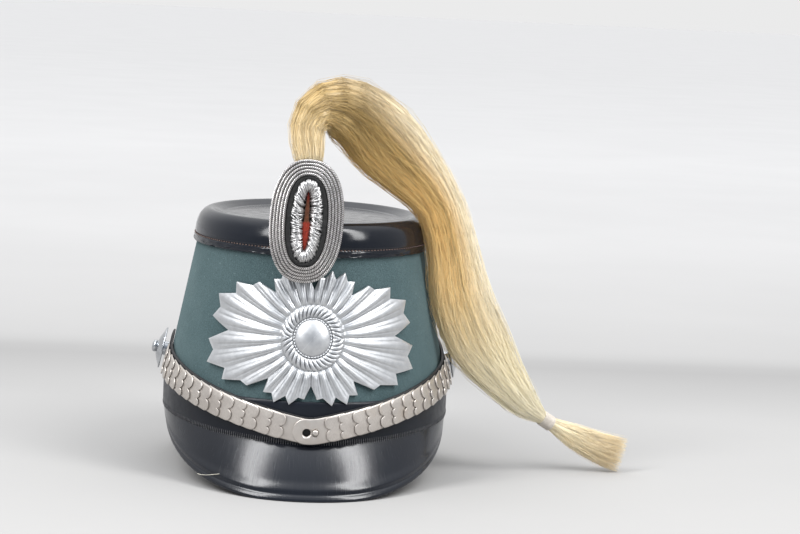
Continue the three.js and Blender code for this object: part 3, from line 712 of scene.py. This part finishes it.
def boss(side, sign):
    along = sign * math.radians(BOSS.angle) * STRAP.radius
    foot = strap_point(along, 0, BOSS.off)
    below = strap_point(along, -SCALE.half_width, BOSS.off)
    wall_up = unit((foot - below) * (1, 0, 1))
    outward = (sign * wall_up[2], 0, -sign * wall_up[0])
    part = revolved_part(BOSS_PROFILE, 72, foot, outward)
    piece(f"boss_{side}_dome", part, "boss", [f"boss_{side}"], sharp=50)


# Front plate

RING = Group(dome=11.5, beads=13, leaves=21, bead_count=40, leaf_count=18)
FINE = 10  # steps between a ridge and a valley


def plate_outline():
    """Directions round the plate, the outline's distance in each, and how near each is to a ridge."""
    rays = len(RAY_LENGTHS)
    columns = PLATE.groups * rays * 2
    c = np.arange(columns)
    valley = np.where(c % (rays * 2) == 0, RAY_VALLEY.between, RAY_VALLEY.inside)
    length = np.where(c % 2 == 1, np.array(RAY_LENGTHS)[(c - 1) // 2 % rays], valley)
    corner_turn = turns(columns)
    size = np.hypot(np.cos(corner_turn) / PLATE.half_width, np.sin(corner_turn) / PLATE.half_height)
    corners = (length / size)[:, None] * np.stack([np.cos(corner_turn), np.sin(corner_turn)], axis=-1)
    fine = np.arange(columns * FINE)
    turn = turns(columns * FINE)
    start = corners[fine // FINE]
    edge = np.roll(corners, -1, axis=0)[fine // FINE] - start
    reach = (start[:, 0] * edge[:, 1] - start[:, 1] * edge[:, 0]) / (
        np.cos(turn) * edge[:, 1] - np.sin(turn) * edge[:, 0]
    )
    nearness = np.interp(fine % (2 * FINE), [0, FINE, 2 * FINE], [0, 1, 0])
    return turn, reach, nearness


def front_plate():
    """A dome, a ring of beads, a ring of leaves and the rays, as rows from the middle out."""
    turn, reach, nearness = plate_outline()
    ridge = np.sin(nearness * math.pi / 2)
    rows = []
    for radius in np.linspace(0.3, RING.dome, 12):
        rows.append((radius + 0 * turn, 6.8 - 3.0 * (radius / RING.dome) ** 2.4 + 0 * turn))
    for share in np.linspace(0.12, 1, 7):
        radius = lerp(RING.dome, RING.beads, share)
        bead = np.sin(math.pi * share) * (0.35 + 0.75 * np.abs(np.cos(RING.bead_count / 2 * turn)))
        rows.append((radius + 0 * turn, 3.2 - 0.2 * share + bead))
    for share in np.linspace(0.06, 1, 16):
        radius = lerp(RING.beads, RING.leaves, share)
        swell = math.sin(math.pi * share) ** 0.7
        slant = RING.leaf_count * turn + 4.2 * (share - 0.5) * np.sign(np.sin(turn + 0.001))
        leaf = np.abs(np.cos(slant))
        rib = 0.35 * np.exp(-(((leaf - 1) / 0.03) ** 2))
        rows.append((radius + 0 * turn, 3 + swell * (0.5 + 1.7 * leaf**0.8 - rib) + 0.1 * ridge))
    line = 0.45 * np.exp(-(((nearness - 0.55) / 0.09) ** 2))
    for share in np.linspace(0.03, 1, 26):
        high = np.interp(share, [0, 0.12, 0.25, 0.65, 0.94, 1], [3.1, 4.3, 4.8, 4.2, 3.5, 3.0])
        low = np.interp(share, [0, 0.25, 0.65, 1], [3, 3.1, 2.9, 2.6])
        groove = line * np.interp(share, [0, 0.15, 0.8, 1], [0, 1, 1, 0])
        rows.append((lerp(RING.leaves, reach, share), lerp(low, high, ridge) - groove))
    radius, off = np.moveaxis(np.array(rows), 1, 0)
    angle = radius * np.cos(turn) / PLATE.wrap_radius
    z = PLATE.centre_z + radius * np.sin(turn)
    rings = np.concatenate([crown_point(angle, z, off), crown_point(angle, z, PLATE.back_off)[::-4]])
    piece("sunburst_plate", lofted_part(rings[::-1]), "plate", ["front_plate"], sharp=60)


# Field badge


def badge_place(points):
    """From the badge's own x, height to the front and z to the hat's place."""
    tilt = math.radians(BADGE.tilt)
    x, height, z = np.moveaxis(points, -1, 0)
    turned_x = x * math.cos(tilt) + z * math.sin(tilt)
    turned_z = z * math.cos(tilt) - x * math.sin(tilt)
    return np.stack([BADGE.x + turned_x, BADGE.back_y - height, BADGE.z + turned_z], axis=-1)


def oval(turn, axes):
    """Points x, z of the badge's oval with these half axes."""
    power = 2 / BADGE.power
    x = np.sign(np.cos(turn)) * np.abs(np.cos(turn)) ** power
    z = np.sign(np.sin(turn)) * np.abs(np.sin(turn)) ** power
    return np.stack([axes[0] * x, axes[1] * z], axis=-1)


def oval_pair(outer, inner):
    """The half axes of two named ovals of the badge."""
    return np.array(BADGE_AXES[outer]), np.array(BADGE_AXES[inner])


def oval_rings(rows, outer, inner, count):
    """Rings of the badge. A row is the share of the way from outer to inner half axes, and a height."""
    flat = [(oval(turns(count), lerp(outer, inner, share)), height) for share, height in rows]
    return badge_place(np.array([np.insert(line, 1, height, axis=1) for line, height in flat]))


def even_turns(count, axes):
    """Turns of oval points at even distances along the line, and the line's length."""
    turn = np.linspace(0, 2 * math.pi, 1441)
    line = oval(turn, axes)
    length = np.append(0, np.cumsum(np.linalg.norm(np.diff(line, axis=0), axis=1)))
    places = np.linspace(0, length[-1], count + 1)[:-1]
    return np.interp(places, length, turn), length[-1]


def even_oval(count, axes):
    """Oval points at even distances along the line, with the directions square to it."""
    points = oval(even_turns(count, axes)[0], axes)
    along = unit(np.roll(points, -1, axis=0) - np.roll(points, 1, axis=0))
    return points, np.stack([along[:, 1], -along[:, 0]], axis=-1)


FRONT = BADGE.backing + GAP  # where the rings of the badge start
CORD = Group(rounds=5, pitch=2.5, per_turn=9, height=2.25)
SILVER_STRANDS = dict(starts=(0, math.pi), radius=0.5, twist_radius=0.52)
DARK_STRANDS = dict(starts=(math.pi / 2, 1.5 * math.pi), radius=0.24, twist_radius=0.8)
# Rows of the backing: the share of its half axes, and the height.
BACKING_ROWS = [(0.02, 0), (0.98, 0), (1, 0.35), (1, 1.0), (0.985, 1.4), (0.5, 1.4), (0.02, 1.4)]


def badge_backing():
    rings = oval_rings(BACKING_ROWS, np.zeros(2), np.array(BADGE_AXES["backing"]), 120)
    piece("badge_backing", lofted_part(rings), "black", ["cockade_backing"])


def cord_strands(starts, radius, twist_radius):
    """Strands that wind round the middle lines of the badge's rounds of cord."""
    strands = []
    outer, inner = oval_pair("cord_outer", "cord_inner")
    for number in range(CORD.rounds):
        axes = lerp(outer, inner, (number + 0.5) / CORD.rounds)
        twists = round(even_turns(200, axes)[1] / CORD.pitch)
        line, outward = even_oval(twists * CORD.per_turn, axes)
        phase = 2 * math.pi * np.arange(len(line)) / CORD.per_turn + number
        for start in starts:
            flat = line + outward * (twist_radius * np.cos(phase + start))[:, None]
            lift = twist_radius * np.sin(phase + start)
            path = np.insert(flat, 1, FRONT + CORD.height + 0.1 * number + lift, axis=1)
            strands.append(tubes_part(badge_place(path)[None], radius, 5, closed=True))
    return joined(strands)


def badge_cords():
    """Rounds of cord, each of two twisted strands of silver wire with dark thread between them."""
    silver = cord_strands(**SILVER_STRANDS)
    piece("badge_cords", silver, "cord", ["cockade_cord"], sharp=70)
    piece("badge_cord_threads", cord_strands(**DARK_STRANDS), "dark_wire", sharp=70)


# Section of the black ring: the share of the way from its outer to its inner edge, and the height.
BLACK_ROWS = [
    (0, 0.2), (0, 2.2), (0.14, 2.9), (0.32, 3.15), (0.5, 3.25), (0.68, 3.15), (0.86, 2.9), (1, 2.2), (1, 0.2),
]
BLACK = Group(points=180, tufts=(-0.28, 0.22))


def black_ring():
    rng = np.random.default_rng(SEED.black_ring)
    rows = []
    for share, height in BLACK_ROWS:
        tuft = height + (height > 1) * rng.uniform(*BLACK.tufts, BLACK.points)
        rows.append((share, FRONT + tuft))
    rings = oval_rings(rows, *oval_pair("black_outer", "black_inner"), BLACK.points)
    piece("badge_black_ring", ring_part(rings), "black", ["cockade_black_ring"], sharp=80)


BULLION = Group(loops=190, radius=0.46, beading=0.16, stations=13, height=2.5, lean=0.08)
BULLION_BED = [(0.02, 0.2), (0.05, 0.9), (0.5, 1.7), (1.02, 1.3), (1.05, 0.2)]


def bullion():
    """Short coiled wires laid from the black ring in to the red core, two layers deep, on a dark bed."""
    rng = np.random.default_rng(SEED.bullion)
    outer, inner = oval_pair("bullion_outer", "bullion_inner")
    share = np.linspace(0, 1, BULLION.stations)
    beads = 1 + BULLION.beading * (-1.0) ** np.arange(BULLION.stations)
    paths, radii = [], []
    for loop, even_turn in enumerate(even_turns(BULLION.loops, outer)[0]):
        turn = even_turn + rng.uniform(-0.01, 0.01)
        layer = loop % 2
        slack = rng.uniform((-0.16, -0.14), (0.1, 0.06))
        start = oval(turn, lerp(outer, inner, slack[0]))
        end = oval(turn + BULLION.lean + rng.normal(0, 0.07), lerp(outer, inner, 1 - slack[1]))
        flat = start + (end - start) * share[:, None]
        crest = BULLION.height + 0.7 * layer + rng.uniform(-0.3, 0.3)
        paths.append(np.insert(flat, 1, FRONT + (0.9 + crest * np.sin(math.pi * share) ** 0.55), axis=1))
        radii.append(BULLION.radius * rng.uniform(0.85, 1.15) * beads)
    wires = tubes_part(badge_place(np.array(paths)), np.array(radii), 6, aside=(0.3, 1, 0.2))
    bed = oval_rings([(share, FRONT + height) for share, height in BULLION_BED], outer, inner, 120)
    piece("badge_bullion_bed", ring_part(bed), "dark_wire", sharp=75)
    piece("badge_bullion", wires, "bullion", ["cockade_bullion"], sharp=75)


def tones_at(keys, places):
    """Colours at places between keys, each a place and a colour."""
    steps = [place for place, _ in keys]
    tones = np.array([tone for _, tone in keys])
    return np.stack([np.interp(places, steps, tones[:, k]) for k in range(3)], axis=-1)


# Half widths of the red slit at shares of its half height, from its foot to its head.
CORE_WIDTHS = [
    (-1, 0.1), (-0.85, 1.2), (-0.6, 2.2), (-0.3, 2.7), (-0.08, 2.6),
    (0.02, 1.7), (0.3, 1.6), (0.6, 1.3), (0.85, 0.8), (1, 0.1),
]
# Its colours, at the same shares: red below, a brown bed above.
CORE_TONES = [
    (-1, (0.62, 0.09, 0.05)), (-0.06, (0.66, 0.09, 0.05)), (0.02, (0.27, 0.12, 0.055)),
    (0.6, (0.25, 0.10, 0.05)), (0.8, (0.48, 0.07, 0.04)), (1, (0.4, 0.06, 0.04)),
]


def red_core():
    rng = np.random.default_rng(SEED.core)
    share = np.linspace(-1, 1, 60)
    half = np.interp(share, *np.array(CORE_WIDTHS).T)
    ragged = half + rng.uniform(-0.18, 0.18, len(share)) * (half > 0.5)
    across = np.array([-1, -0.98, -0.6, 0, 0.6, 0.98, 1])
    heights = np.array([0.2, 1.6, 2.5, 2.9, 2.5, 1.6, 0.2])
    x = ragged[:, None] * across
    z = BADGE_AXES["core"][1] * share[:, None] + 0 * x
    height = FRONT + heights * np.sqrt(np.maximum(1 - share**2, 0.04))[:, None]
    front = badge_place(np.stack([x, height, z], axis=-1))
    back = badge_place(np.stack([x, 0 * x + FRONT + 0.05, z], axis=-1))
    part = sheet_part(front, back)
    tones = np.tile(np.repeat(tones_at(CORE_TONES, share), len(across), axis=0), (2, 1))
    piece("badge_red_core", part, "red", ["cockade_core"], sharp=70, tones=tones)


# Rows of the plume's post: the share of its height, and of its half sizes.
SOCKET_ROWS = [(0, 0.6), (0.01, 0.7), (0.5, 0.85), (0.97, 0.99), (0.99, 0.97), (1, 0.9)]


def plume_socket():
    angle = turns(48)
    share, size = np.array(SOCKET_ROWS).T[..., None]
    x = SOCKET.x + SOCKET.half_width * size * np.cos(angle)
    y = SOCKET.y + SOCKET.half_depth * size * np.sin(angle)
    z = lerp(SOCKET.bottom_z, SOCKET.top_z, share) + 0 * angle
    piece("plume_post", lofted_part(np.stack([x, y, z], axis=-1)), "strap", ["plume_socket"])


# Plume

HAIR = Group(pieces=3, stations=31, sides=3)
CLOSE_HAIR = dict(count=430, longest_lift=0.7, wander=0.16, radius=0.15)
LOOSE_HAIR = dict(count=330, longest_lift=4.5, wander=0.5, radius=0.15 * 0.7)
PLUME_CORE = Group(end=18.4, rows=180, around=460)
LAST_ROW = len(PLUME_ROWS) - 1
TIED_ROW = 16.2  # behind this row the hair is free again
# Colours of the hair at places counted in rows of the plume. They hold painted light and shade along with its
# straw tone: the brown rows round the top of the bend paint the shade on its underside, and the pale rows are
# partly painted light.
HAIR_TONES = [
    (0, (0.97, 0.85, 0.61)), (1.2, (0.92, 0.76, 0.48)), (2.4, (0.54, 0.395, 0.18)),
    (4.2, (0.40, 0.275, 0.105)), (6, (0.66, 0.46, 0.18)), (8.5, (0.80, 0.55, 0.22)),
    (10.5, (0.92, 0.70, 0.36)), (12.5, (0.97, 0.87, 0.62)), (14.5, (0.97, 0.90, 0.70)),
    (16.5, (0.97, 0.85, 0.60)), (19, (0.97, 0.80, 0.52)),
]
PALE_HAIR = (0.97, 0.89, 0.70)  # where light comes through the hair, outside the bend
HAIR_LIMIT = 0.97  # the brightest red share of any hair
# Waves round the plume: their number, size and drift along it. LOCKS shape it, STREAKS shade it.
LOCKS = [(13, 0.02, 0.5), (23, 0.014, -0.4), (41, 0.008, 0.3), (87, 0.004, -0.5)]
STREAKS = [
    (7, 0.05, 0.6), (19, 0.06, -0.5), (33, 0.06, 0.4), (61, 0.06, -0.7), (97, 0.06, 0.9), (139, 0.05, -0.8),
]


def plume_frame(places):
    """The plume's middle, its directions and its half sizes at places counted in rows."""
    rows = smooth_rows(PLUME_ROWS, places)
    step = 0.02
    ahead = smooth_rows(PLUME_ROWS[:, :3], np.minimum(places + step, LAST_ROW))
    behind = smooth_rows(PLUME_ROWS[:, :3], np.clip(places - step, 0, LAST_ROW - step))
    along = unit(ahead - behind)
    across = unit(np.cross(along, (0, 1.0, 0)))
    inward = np.cross(along, across)
    return rows[..., :3], along, across, inward, rows[..., 3], rows[..., 4]


def waved(start, waves, angle, places, phase):
    """A start value with waves added round the plume."""
    return sum((size * np.sin(n * angle + drift * places + phase * n) for n, size, drift in waves), start)


def lock_reach(angle, places):
    """How far the plume's locks reach in its section, as a share of its half sizes."""
    around = angle - 0.5 * places / LAST_ROW
    return waved(0.97 + 0.05 * np.cos(6 * around), LOCKS, around, places, 1)


def section_points(places, angle, reach, lift):
    """Points of the plume's section at an angle, reach times its half sizes and lift millimetres out."""
    middle, _, across, inward, wide, deep = plume_frame(places)
    u = np.cos(angle) * (reach * wide + lift)
    v = np.sin(angle) * (reach * deep + lift)
    return middle + across * u[..., None] + inward * v[..., None]


def hair_tones(places, angle, strand):
    """A colour for each point, with painted light and shade: by its place along the plume, its side of the
    bend, streak and strand.
    """
    colour = tones_at(HAIR_TONES, places)
    shone_through = np.interp(places, [3.5, 6, 11, 13], [0, 0.85, 0.85, 0])
    outer = np.clip((np.cos(angle) - 0.1) / 0.8, 0, 1) * shone_through
    colour = lerp(colour, np.array(PALE_HAIR), outer[..., None])
    lit_below = np.interp(places, [2, 4, 8, 11], [0, 0.4, 0.4, 0])
    inner = 1 + np.clip(-np.cos(angle), 0, 1) * lit_below
    shade = (inner * waved(1.0, STREAKS, angle, places, 2))[..., None] * strand
    return colour * np.minimum(shade, HAIR_LIMIT / colour[..., :1])


HAIR_WAVES = (1.3, 3.1, 6.7)  # waves of a strand along the plume


def hair_piece(name, seed, count, longest_lift, wander, radius):
    """Strands that lie along the plume, up to longest_lift above its locks, and stray round it by wander."""
    rng = np.random.default_rng(seed)
    start = rng.uniform(0, 0.12, (count, 1))
    end = LAST_ROW - rng.gamma(2.0, 0.2, (count, 1))
    places = lerp(start, end, np.linspace(0, 1, HAIR.stations))
    angle = rng.uniform(0, 2 * math.pi, (count, 1)) + 0.5 * places / LAST_ROW
    ripple = np.zeros_like(places)
    for waves in HAIR_WAVES:
        phase = rng.uniform(0, 2 * math.pi, (2, count, 1))
        swing = places / LAST_ROW * 2 * math.pi * waves
        angle = angle + wander / waves * np.sin(swing + phase[0])
        ripple = ripple + np.sin(swing + phase[1]) / len(HAIR_WAVES)
    held = np.interp(places, [0, 1, 14, 15, 16, 17], [0.1, 1, 1, 0.1, 0.1, 0.6])
    lift = rng.uniform(0, 1, (count, 1)) ** 2 * longest_lift * (0.7 + 0.3 * ripple) * held
    free = np.clip((places - TIED_ROW) / 1.4, 0, 1)
    filled = lerp(1, np.sqrt(rng.uniform(0, 1, (count, 1))), free)
    paths = section_points(places, angle, lock_reach(angle, places) * filled, lift)
    paths[..., 2] = np.maximum(paths[..., 2], 0.4 - FOOT)
    taper = np.interp(np.linspace(0, 1, HAIR.stations), [0, 0.85, 1], [1, 1, 0.25])
    radii = radius * rng.uniform(0.75, 1.25, (count, 1)) * taper
    part = tubes_part(paths, radii, HAIR.sides, roll=rng.uniform(0, 2, count))
    strand = np.clip(rng.normal(1, 0.14, (count, 1, 1)), 0.66, 1.3)
    strand = strand + rng.normal(0, 0.04, (count, 1, 1)) * np.array([0.2, 0.0, -1.0])
    tones = np.repeat(hair_tones(places, angle, strand).reshape(-1, 3), HAIR.sides, axis=0)
    piece(name, part, "hair", sharp=180, tones=tones)


def plume_core():
    """The dense body of the plume, with locks and ridges in the direction of the hair."""
    rows = np.linspace(0, PLUME_CORE.end, PLUME_CORE.rows)[:, None]
    places, angle = np.broadcast_arrays(rows, turns(PLUME_CORE.around))
    narrow = np.interp(places, [0, 16.4, 17.2, 18.3], [1, 1, 0.75, 0.2])
    rings = section_points(places, angle, lock_reach(angle, places) * narrow, 0)
    rng = np.random.default_rng(SEED.plume)
    strand = np.clip(rng.normal(1, 0.07, (1, angle.shape[1], 1)), 0.8, 1.2)
    tones = hair_tones(places, angle, strand).reshape(-1, 3)
    piece("plume_core", lofted_part(rings), "hair", ["plume"], sharp=180, tones=tones)


def plume_tie():
    """Turns of pale thread wound round the plume's lower end."""
    middle, along, across, inward, wide, deep = (value[0] for value in plume_frame(np.array([TIE.row])))
    steps = np.linspace(0, 1, TIE.turns * TIE.steps + 1)[:, None]
    angle = 2 * math.pi * TIE.turns * steps
    rng = np.random.default_rng(SEED.tie)
    loose = 0.12 * np.sin(7 * angle + 1) + rng.normal(0, 0.03, steps.shape)
    reach = wide * TIE.reach + TIE.off + loose
    depth = deep * TIE.reach + TIE.off + loose
    length = lerp(-TIE.half_length, TIE.half_length, steps)
    path = middle + along * length + across * (reach * np.cos(angle)) + inward * (depth * np.sin(angle))
    part = tubes_part(path[None], TIE.thread, 8, aside=along)
    piece("plume_tie_thread", part, "thread", ["plume_tie"], sharp=70)


# Stitching


def stitches(name, starts, ends, lifts, radius, finish):
    """Short thread stitches between pairs of points, lifted in their middle."""
    share = np.linspace(0, 1, 6)[None, :, None]
    paths = lerp(starts[:, None], ends[:, None], share) + lifts[:, None] * np.sin(math.pi * share)
    radii = radius * np.interp(share[0, :, 0], [0, 0.2, 0.8, 1], [0.5, 1, 1, 0.5])
    part = tubes_part(paths, np.broadcast_to(radii, paths.shape[:2]), 6, aside=(0.31, 0.42, 0.85))
    piece(name, part, finish, sharp=70)


TOP_STITCH = Group(count=210, share=0.27, z=151.7, off=2.75, lift=0.2, radius=0.3)
PEAK_STITCH = Group(count=190, end_angle=86, low=0.965, above=2.6, lift=0.1, radius=0.2)


def top_stitches():
    angles = turns(TOP_STITCH.count)
    half = TOP_STITCH.share * 2 * math.pi / TOP_STITCH.count
    z, off = TOP_STITCH.z, TOP_STITCH.off
    lifts = TOP_STITCH.lift * unit(crown_point(angles, z, 1) - crown_point(angles, z, 0))
    starts, ends = crown_point(angles - half, z, off), crown_point(angles + half, z, off)
    stitches("top_stitches", starts, ends, lifts, TOP_STITCH.radius, "brown_thread")


def peak_stitches(name):
    """Upright stitches over the seam between a peak and the band."""
    angles = np.radians(np.linspace(-PEAK_STITCH.end_angle, PEAK_STITCH.end_angle, PEAK_STITCH.count))
    low = peak_points(name, angles, PEAK_STITCH.low, 0.1)
    high = crown_point(angles, seam_z(angles) + PEAK_STITCH.above, BAND.thickness + GAP)
    lifts = PEAK_STITCH.lift * unit(crown_point(angles, 0, 1) - crown_point(angles, 0, 0))
    for points in (high, lifts):
        points[:, :2] *= PEAKS[name]["turn"]
    stitches(name + "_stitches", low, high, lifts, PEAK_STITCH.radius, "grey_thread")


def stray_hair():
    """A single fallen hair that lies on the left of the front peak."""
    angles = np.radians(np.array([-40.5, -38, -35.5, -33, -30.5]))
    lift = np.array([0.6, 0.5, 0.6, 0.7, 0.9])
    up = np.array([0.0, 0.04, 0.09, 0.15, 0.21])
    path = peak_points("front_peak", angles, up, lift)
    fine = smooth_rows(path, np.linspace(0, len(path) - 1, 24))
    part = tubes_part(fine[None], 0.13, 4, aside=(0, 0, 1))
    tones = np.tile((0.9, 0.85, 0.72), (len(part[0]), 1))
    piece("stray_hair", part, "hair", sharp=180, tones=tones)


felt_crown()
leather_top()
base_band()
for peak_name in PEAKS:
    peak(peak_name)
    peak_stitches(peak_name)
backing_strap("left", -STRAP.end_along, STRAP.meet_along)
backing_strap("right", STRAP.meet_along + 2 * GAP, STRAP.end_along)
end_plates()
strap_stud()
for side_name, side_shape in SIDES.items():
    for scale_index in range(SCALE.count):
        chin_scale(side_name, index=scale_index, **side_shape)
    boss(side_name, side_shape["sign"])
front_plate()
badge_backing()
badge_cords()
black_ring()
bullion()
red_core()
plume_socket()
plume_core()
for hair_number in range(HAIR.pieces):
    hair_piece(f"plume_hair_{hair_number + 1}", SEED.hair + hair_number, **CLOSE_HAIR)
hair_piece("plume_loose_hair", SEED.loose_hair, **LOOSE_HAIR)
plume_tie()
top_stitches()
stray_hair()

# Floor, light and camera

# Tones of the floor at distances behind the hat in metres, as painted light and shade: the darker band near
# 0.44 m paints the shade at the foot of a wall, and the paler tones beyond it paint a lit wall and make up
# for the softboxes' falloff.
FLOOR_PAINTED_LIGHT = [
    (0.0, 0.355), (0.2, 0.37), (0.44, 0.305), (0.51, 0.39),
    (0.75, 0.455), (1.5, 0.61), (3.0, 0.71), (9.0, 0.68),
]
FLOOR_TINT = (1.0, 0.985, 0.968)
FLOOR = Group(half_width=12.0, near=-3.0, far=40.0)


def floor():
    """A pale floor that reaches far behind the hat, with painted light and shade in its tones."""
    half, near, far = FLOOR.half_width, FLOOR.near, FLOOR.far
    corners = [(-half, near, 0), (half, near, 0), (half, far, 0), (-half, far, 0)]
    mesh = bpy.data.meshes.new("floor")
    mesh.from_pydata(corners, [], [(0, 1, 2, 3)])
    look = material("floor", Roughness=0.9, Specular_IOR_Level=0.2)
    behind = look.node("ShaderNodeSeparateXYZ", Vector=look.place()).outputs["Y"]
    reach = FLOOR_PAINTED_LIGHT[-1][0]
    share = look.node("ShaderNodeMapRange", Value=behind, From_Max=reach).outputs["Result"]
    stops = [(distance / reach, tuple(tone * c for c in FLOOR_TINT)) for distance, tone in FLOOR_PAINTED_LIGHT]
    uneven = look.mottled((4,), (0.3, 0.97), (0.7, 1.0))
    # The floor's colour: the painted light and shade of its tones by distance, mottled a little.
    look.set(Base_Color=look.mix(look.ramp(share, *stops), uneven))
    mesh.materials.append(look.owner)
    sheet = placed("floor", mesh)


def photo_camera():
    """The photograph's camera: place in millimetres from the crown's axis, angles in radians."""
    place, pitch, yaw, roll = (-50, -1500, 313), 0.120, 0.074, 0.047
    focal_pixels, image_width, sensor = 2218, 800, 36
    data = bpy.data.cameras.new("camera")
    data.sensor_width = sensor
    data.lens = sensor * focal_pixels / image_width
    camera = placed("camera", data)
    turned = Matrix.Rotation(-yaw, 4, "Z") @ Matrix.Rotation(math.pi / 2 - pitch, 4, "X")
    turned = turned @ Matrix.Rotation(roll, 4, "Z")
    camera.matrix_world = Matrix.Translation(Vector(np.array(place) * MM + AXIS)) @ turned
    bpy.context.scene.camera = camera


# Brightness of the surroundings from the front, behind the camera, to the rear.
SURROUNDINGS = [(0.0, (0.40, 0.44, 0.50)), (0.5, (0.72, 0.73, 0.75)), (1.0, (0.98, 0.98, 0.98))]
# Shares of that light by height, from level to straight overhead.
OVERHEAD = [(0.15, 0.85), (0.6, 1.2), (0.95, 2.6)]
# Two tall softboxes in front of the hat: the turn from straight ahead in degrees, and the power in watts.
SOFTBOXES = dict(softbox_left=(-52, 21.5), softbox_right=(51, 22.5))
SOFTBOX = Group(distance=1.15, height=1.18, aim=0.12, size=(0.35, 1.3))


def softboxes():
    target = Vector((AXIS[0], AXIS[1], SOFTBOX.aim))
    for name, (degrees, power) in SOFTBOXES.items():
        turn = math.radians(degrees)
        place = (AXIS[0] + SOFTBOX.distance * math.sin(turn), AXIS[1] - SOFTBOX.distance * math.cos(turn))
        data = bpy.data.lights.new(name, "AREA")
        data.shape = "RECTANGLE"
        data.size, data.size_y = SOFTBOX.size
        data.energy = power
        lamp = placed(name, data)
        lamp.location = (*place, SOFTBOX.height)
        lamp.rotation_euler = (target - lamp.location).to_track_quat("-Z", "Y").to_euler()


def surroundings():
    look = Look(bpy.data.worlds.new("studio"), "Background", Strength=1.0)
    direction = look.node("ShaderNodeTexCoord").outputs["Generated"]
    axes = look.node("ShaderNodeSeparateXYZ", Vector=direction).outputs
    share = look.node("ShaderNodeMapRange", Value=axes["Y"], From_Min=-1).outputs["Result"]
    look.set(Color=look.mix(look.ramp(share, *SURROUNDINGS), look.ramp(axes["Z"], *OVERHEAD)))
    bpy.context.scene.world = look.owner
    bpy.context.scene.view_settings.view_transform = "Standard"


floor()
photo_camera()
softboxes()
surroundings()
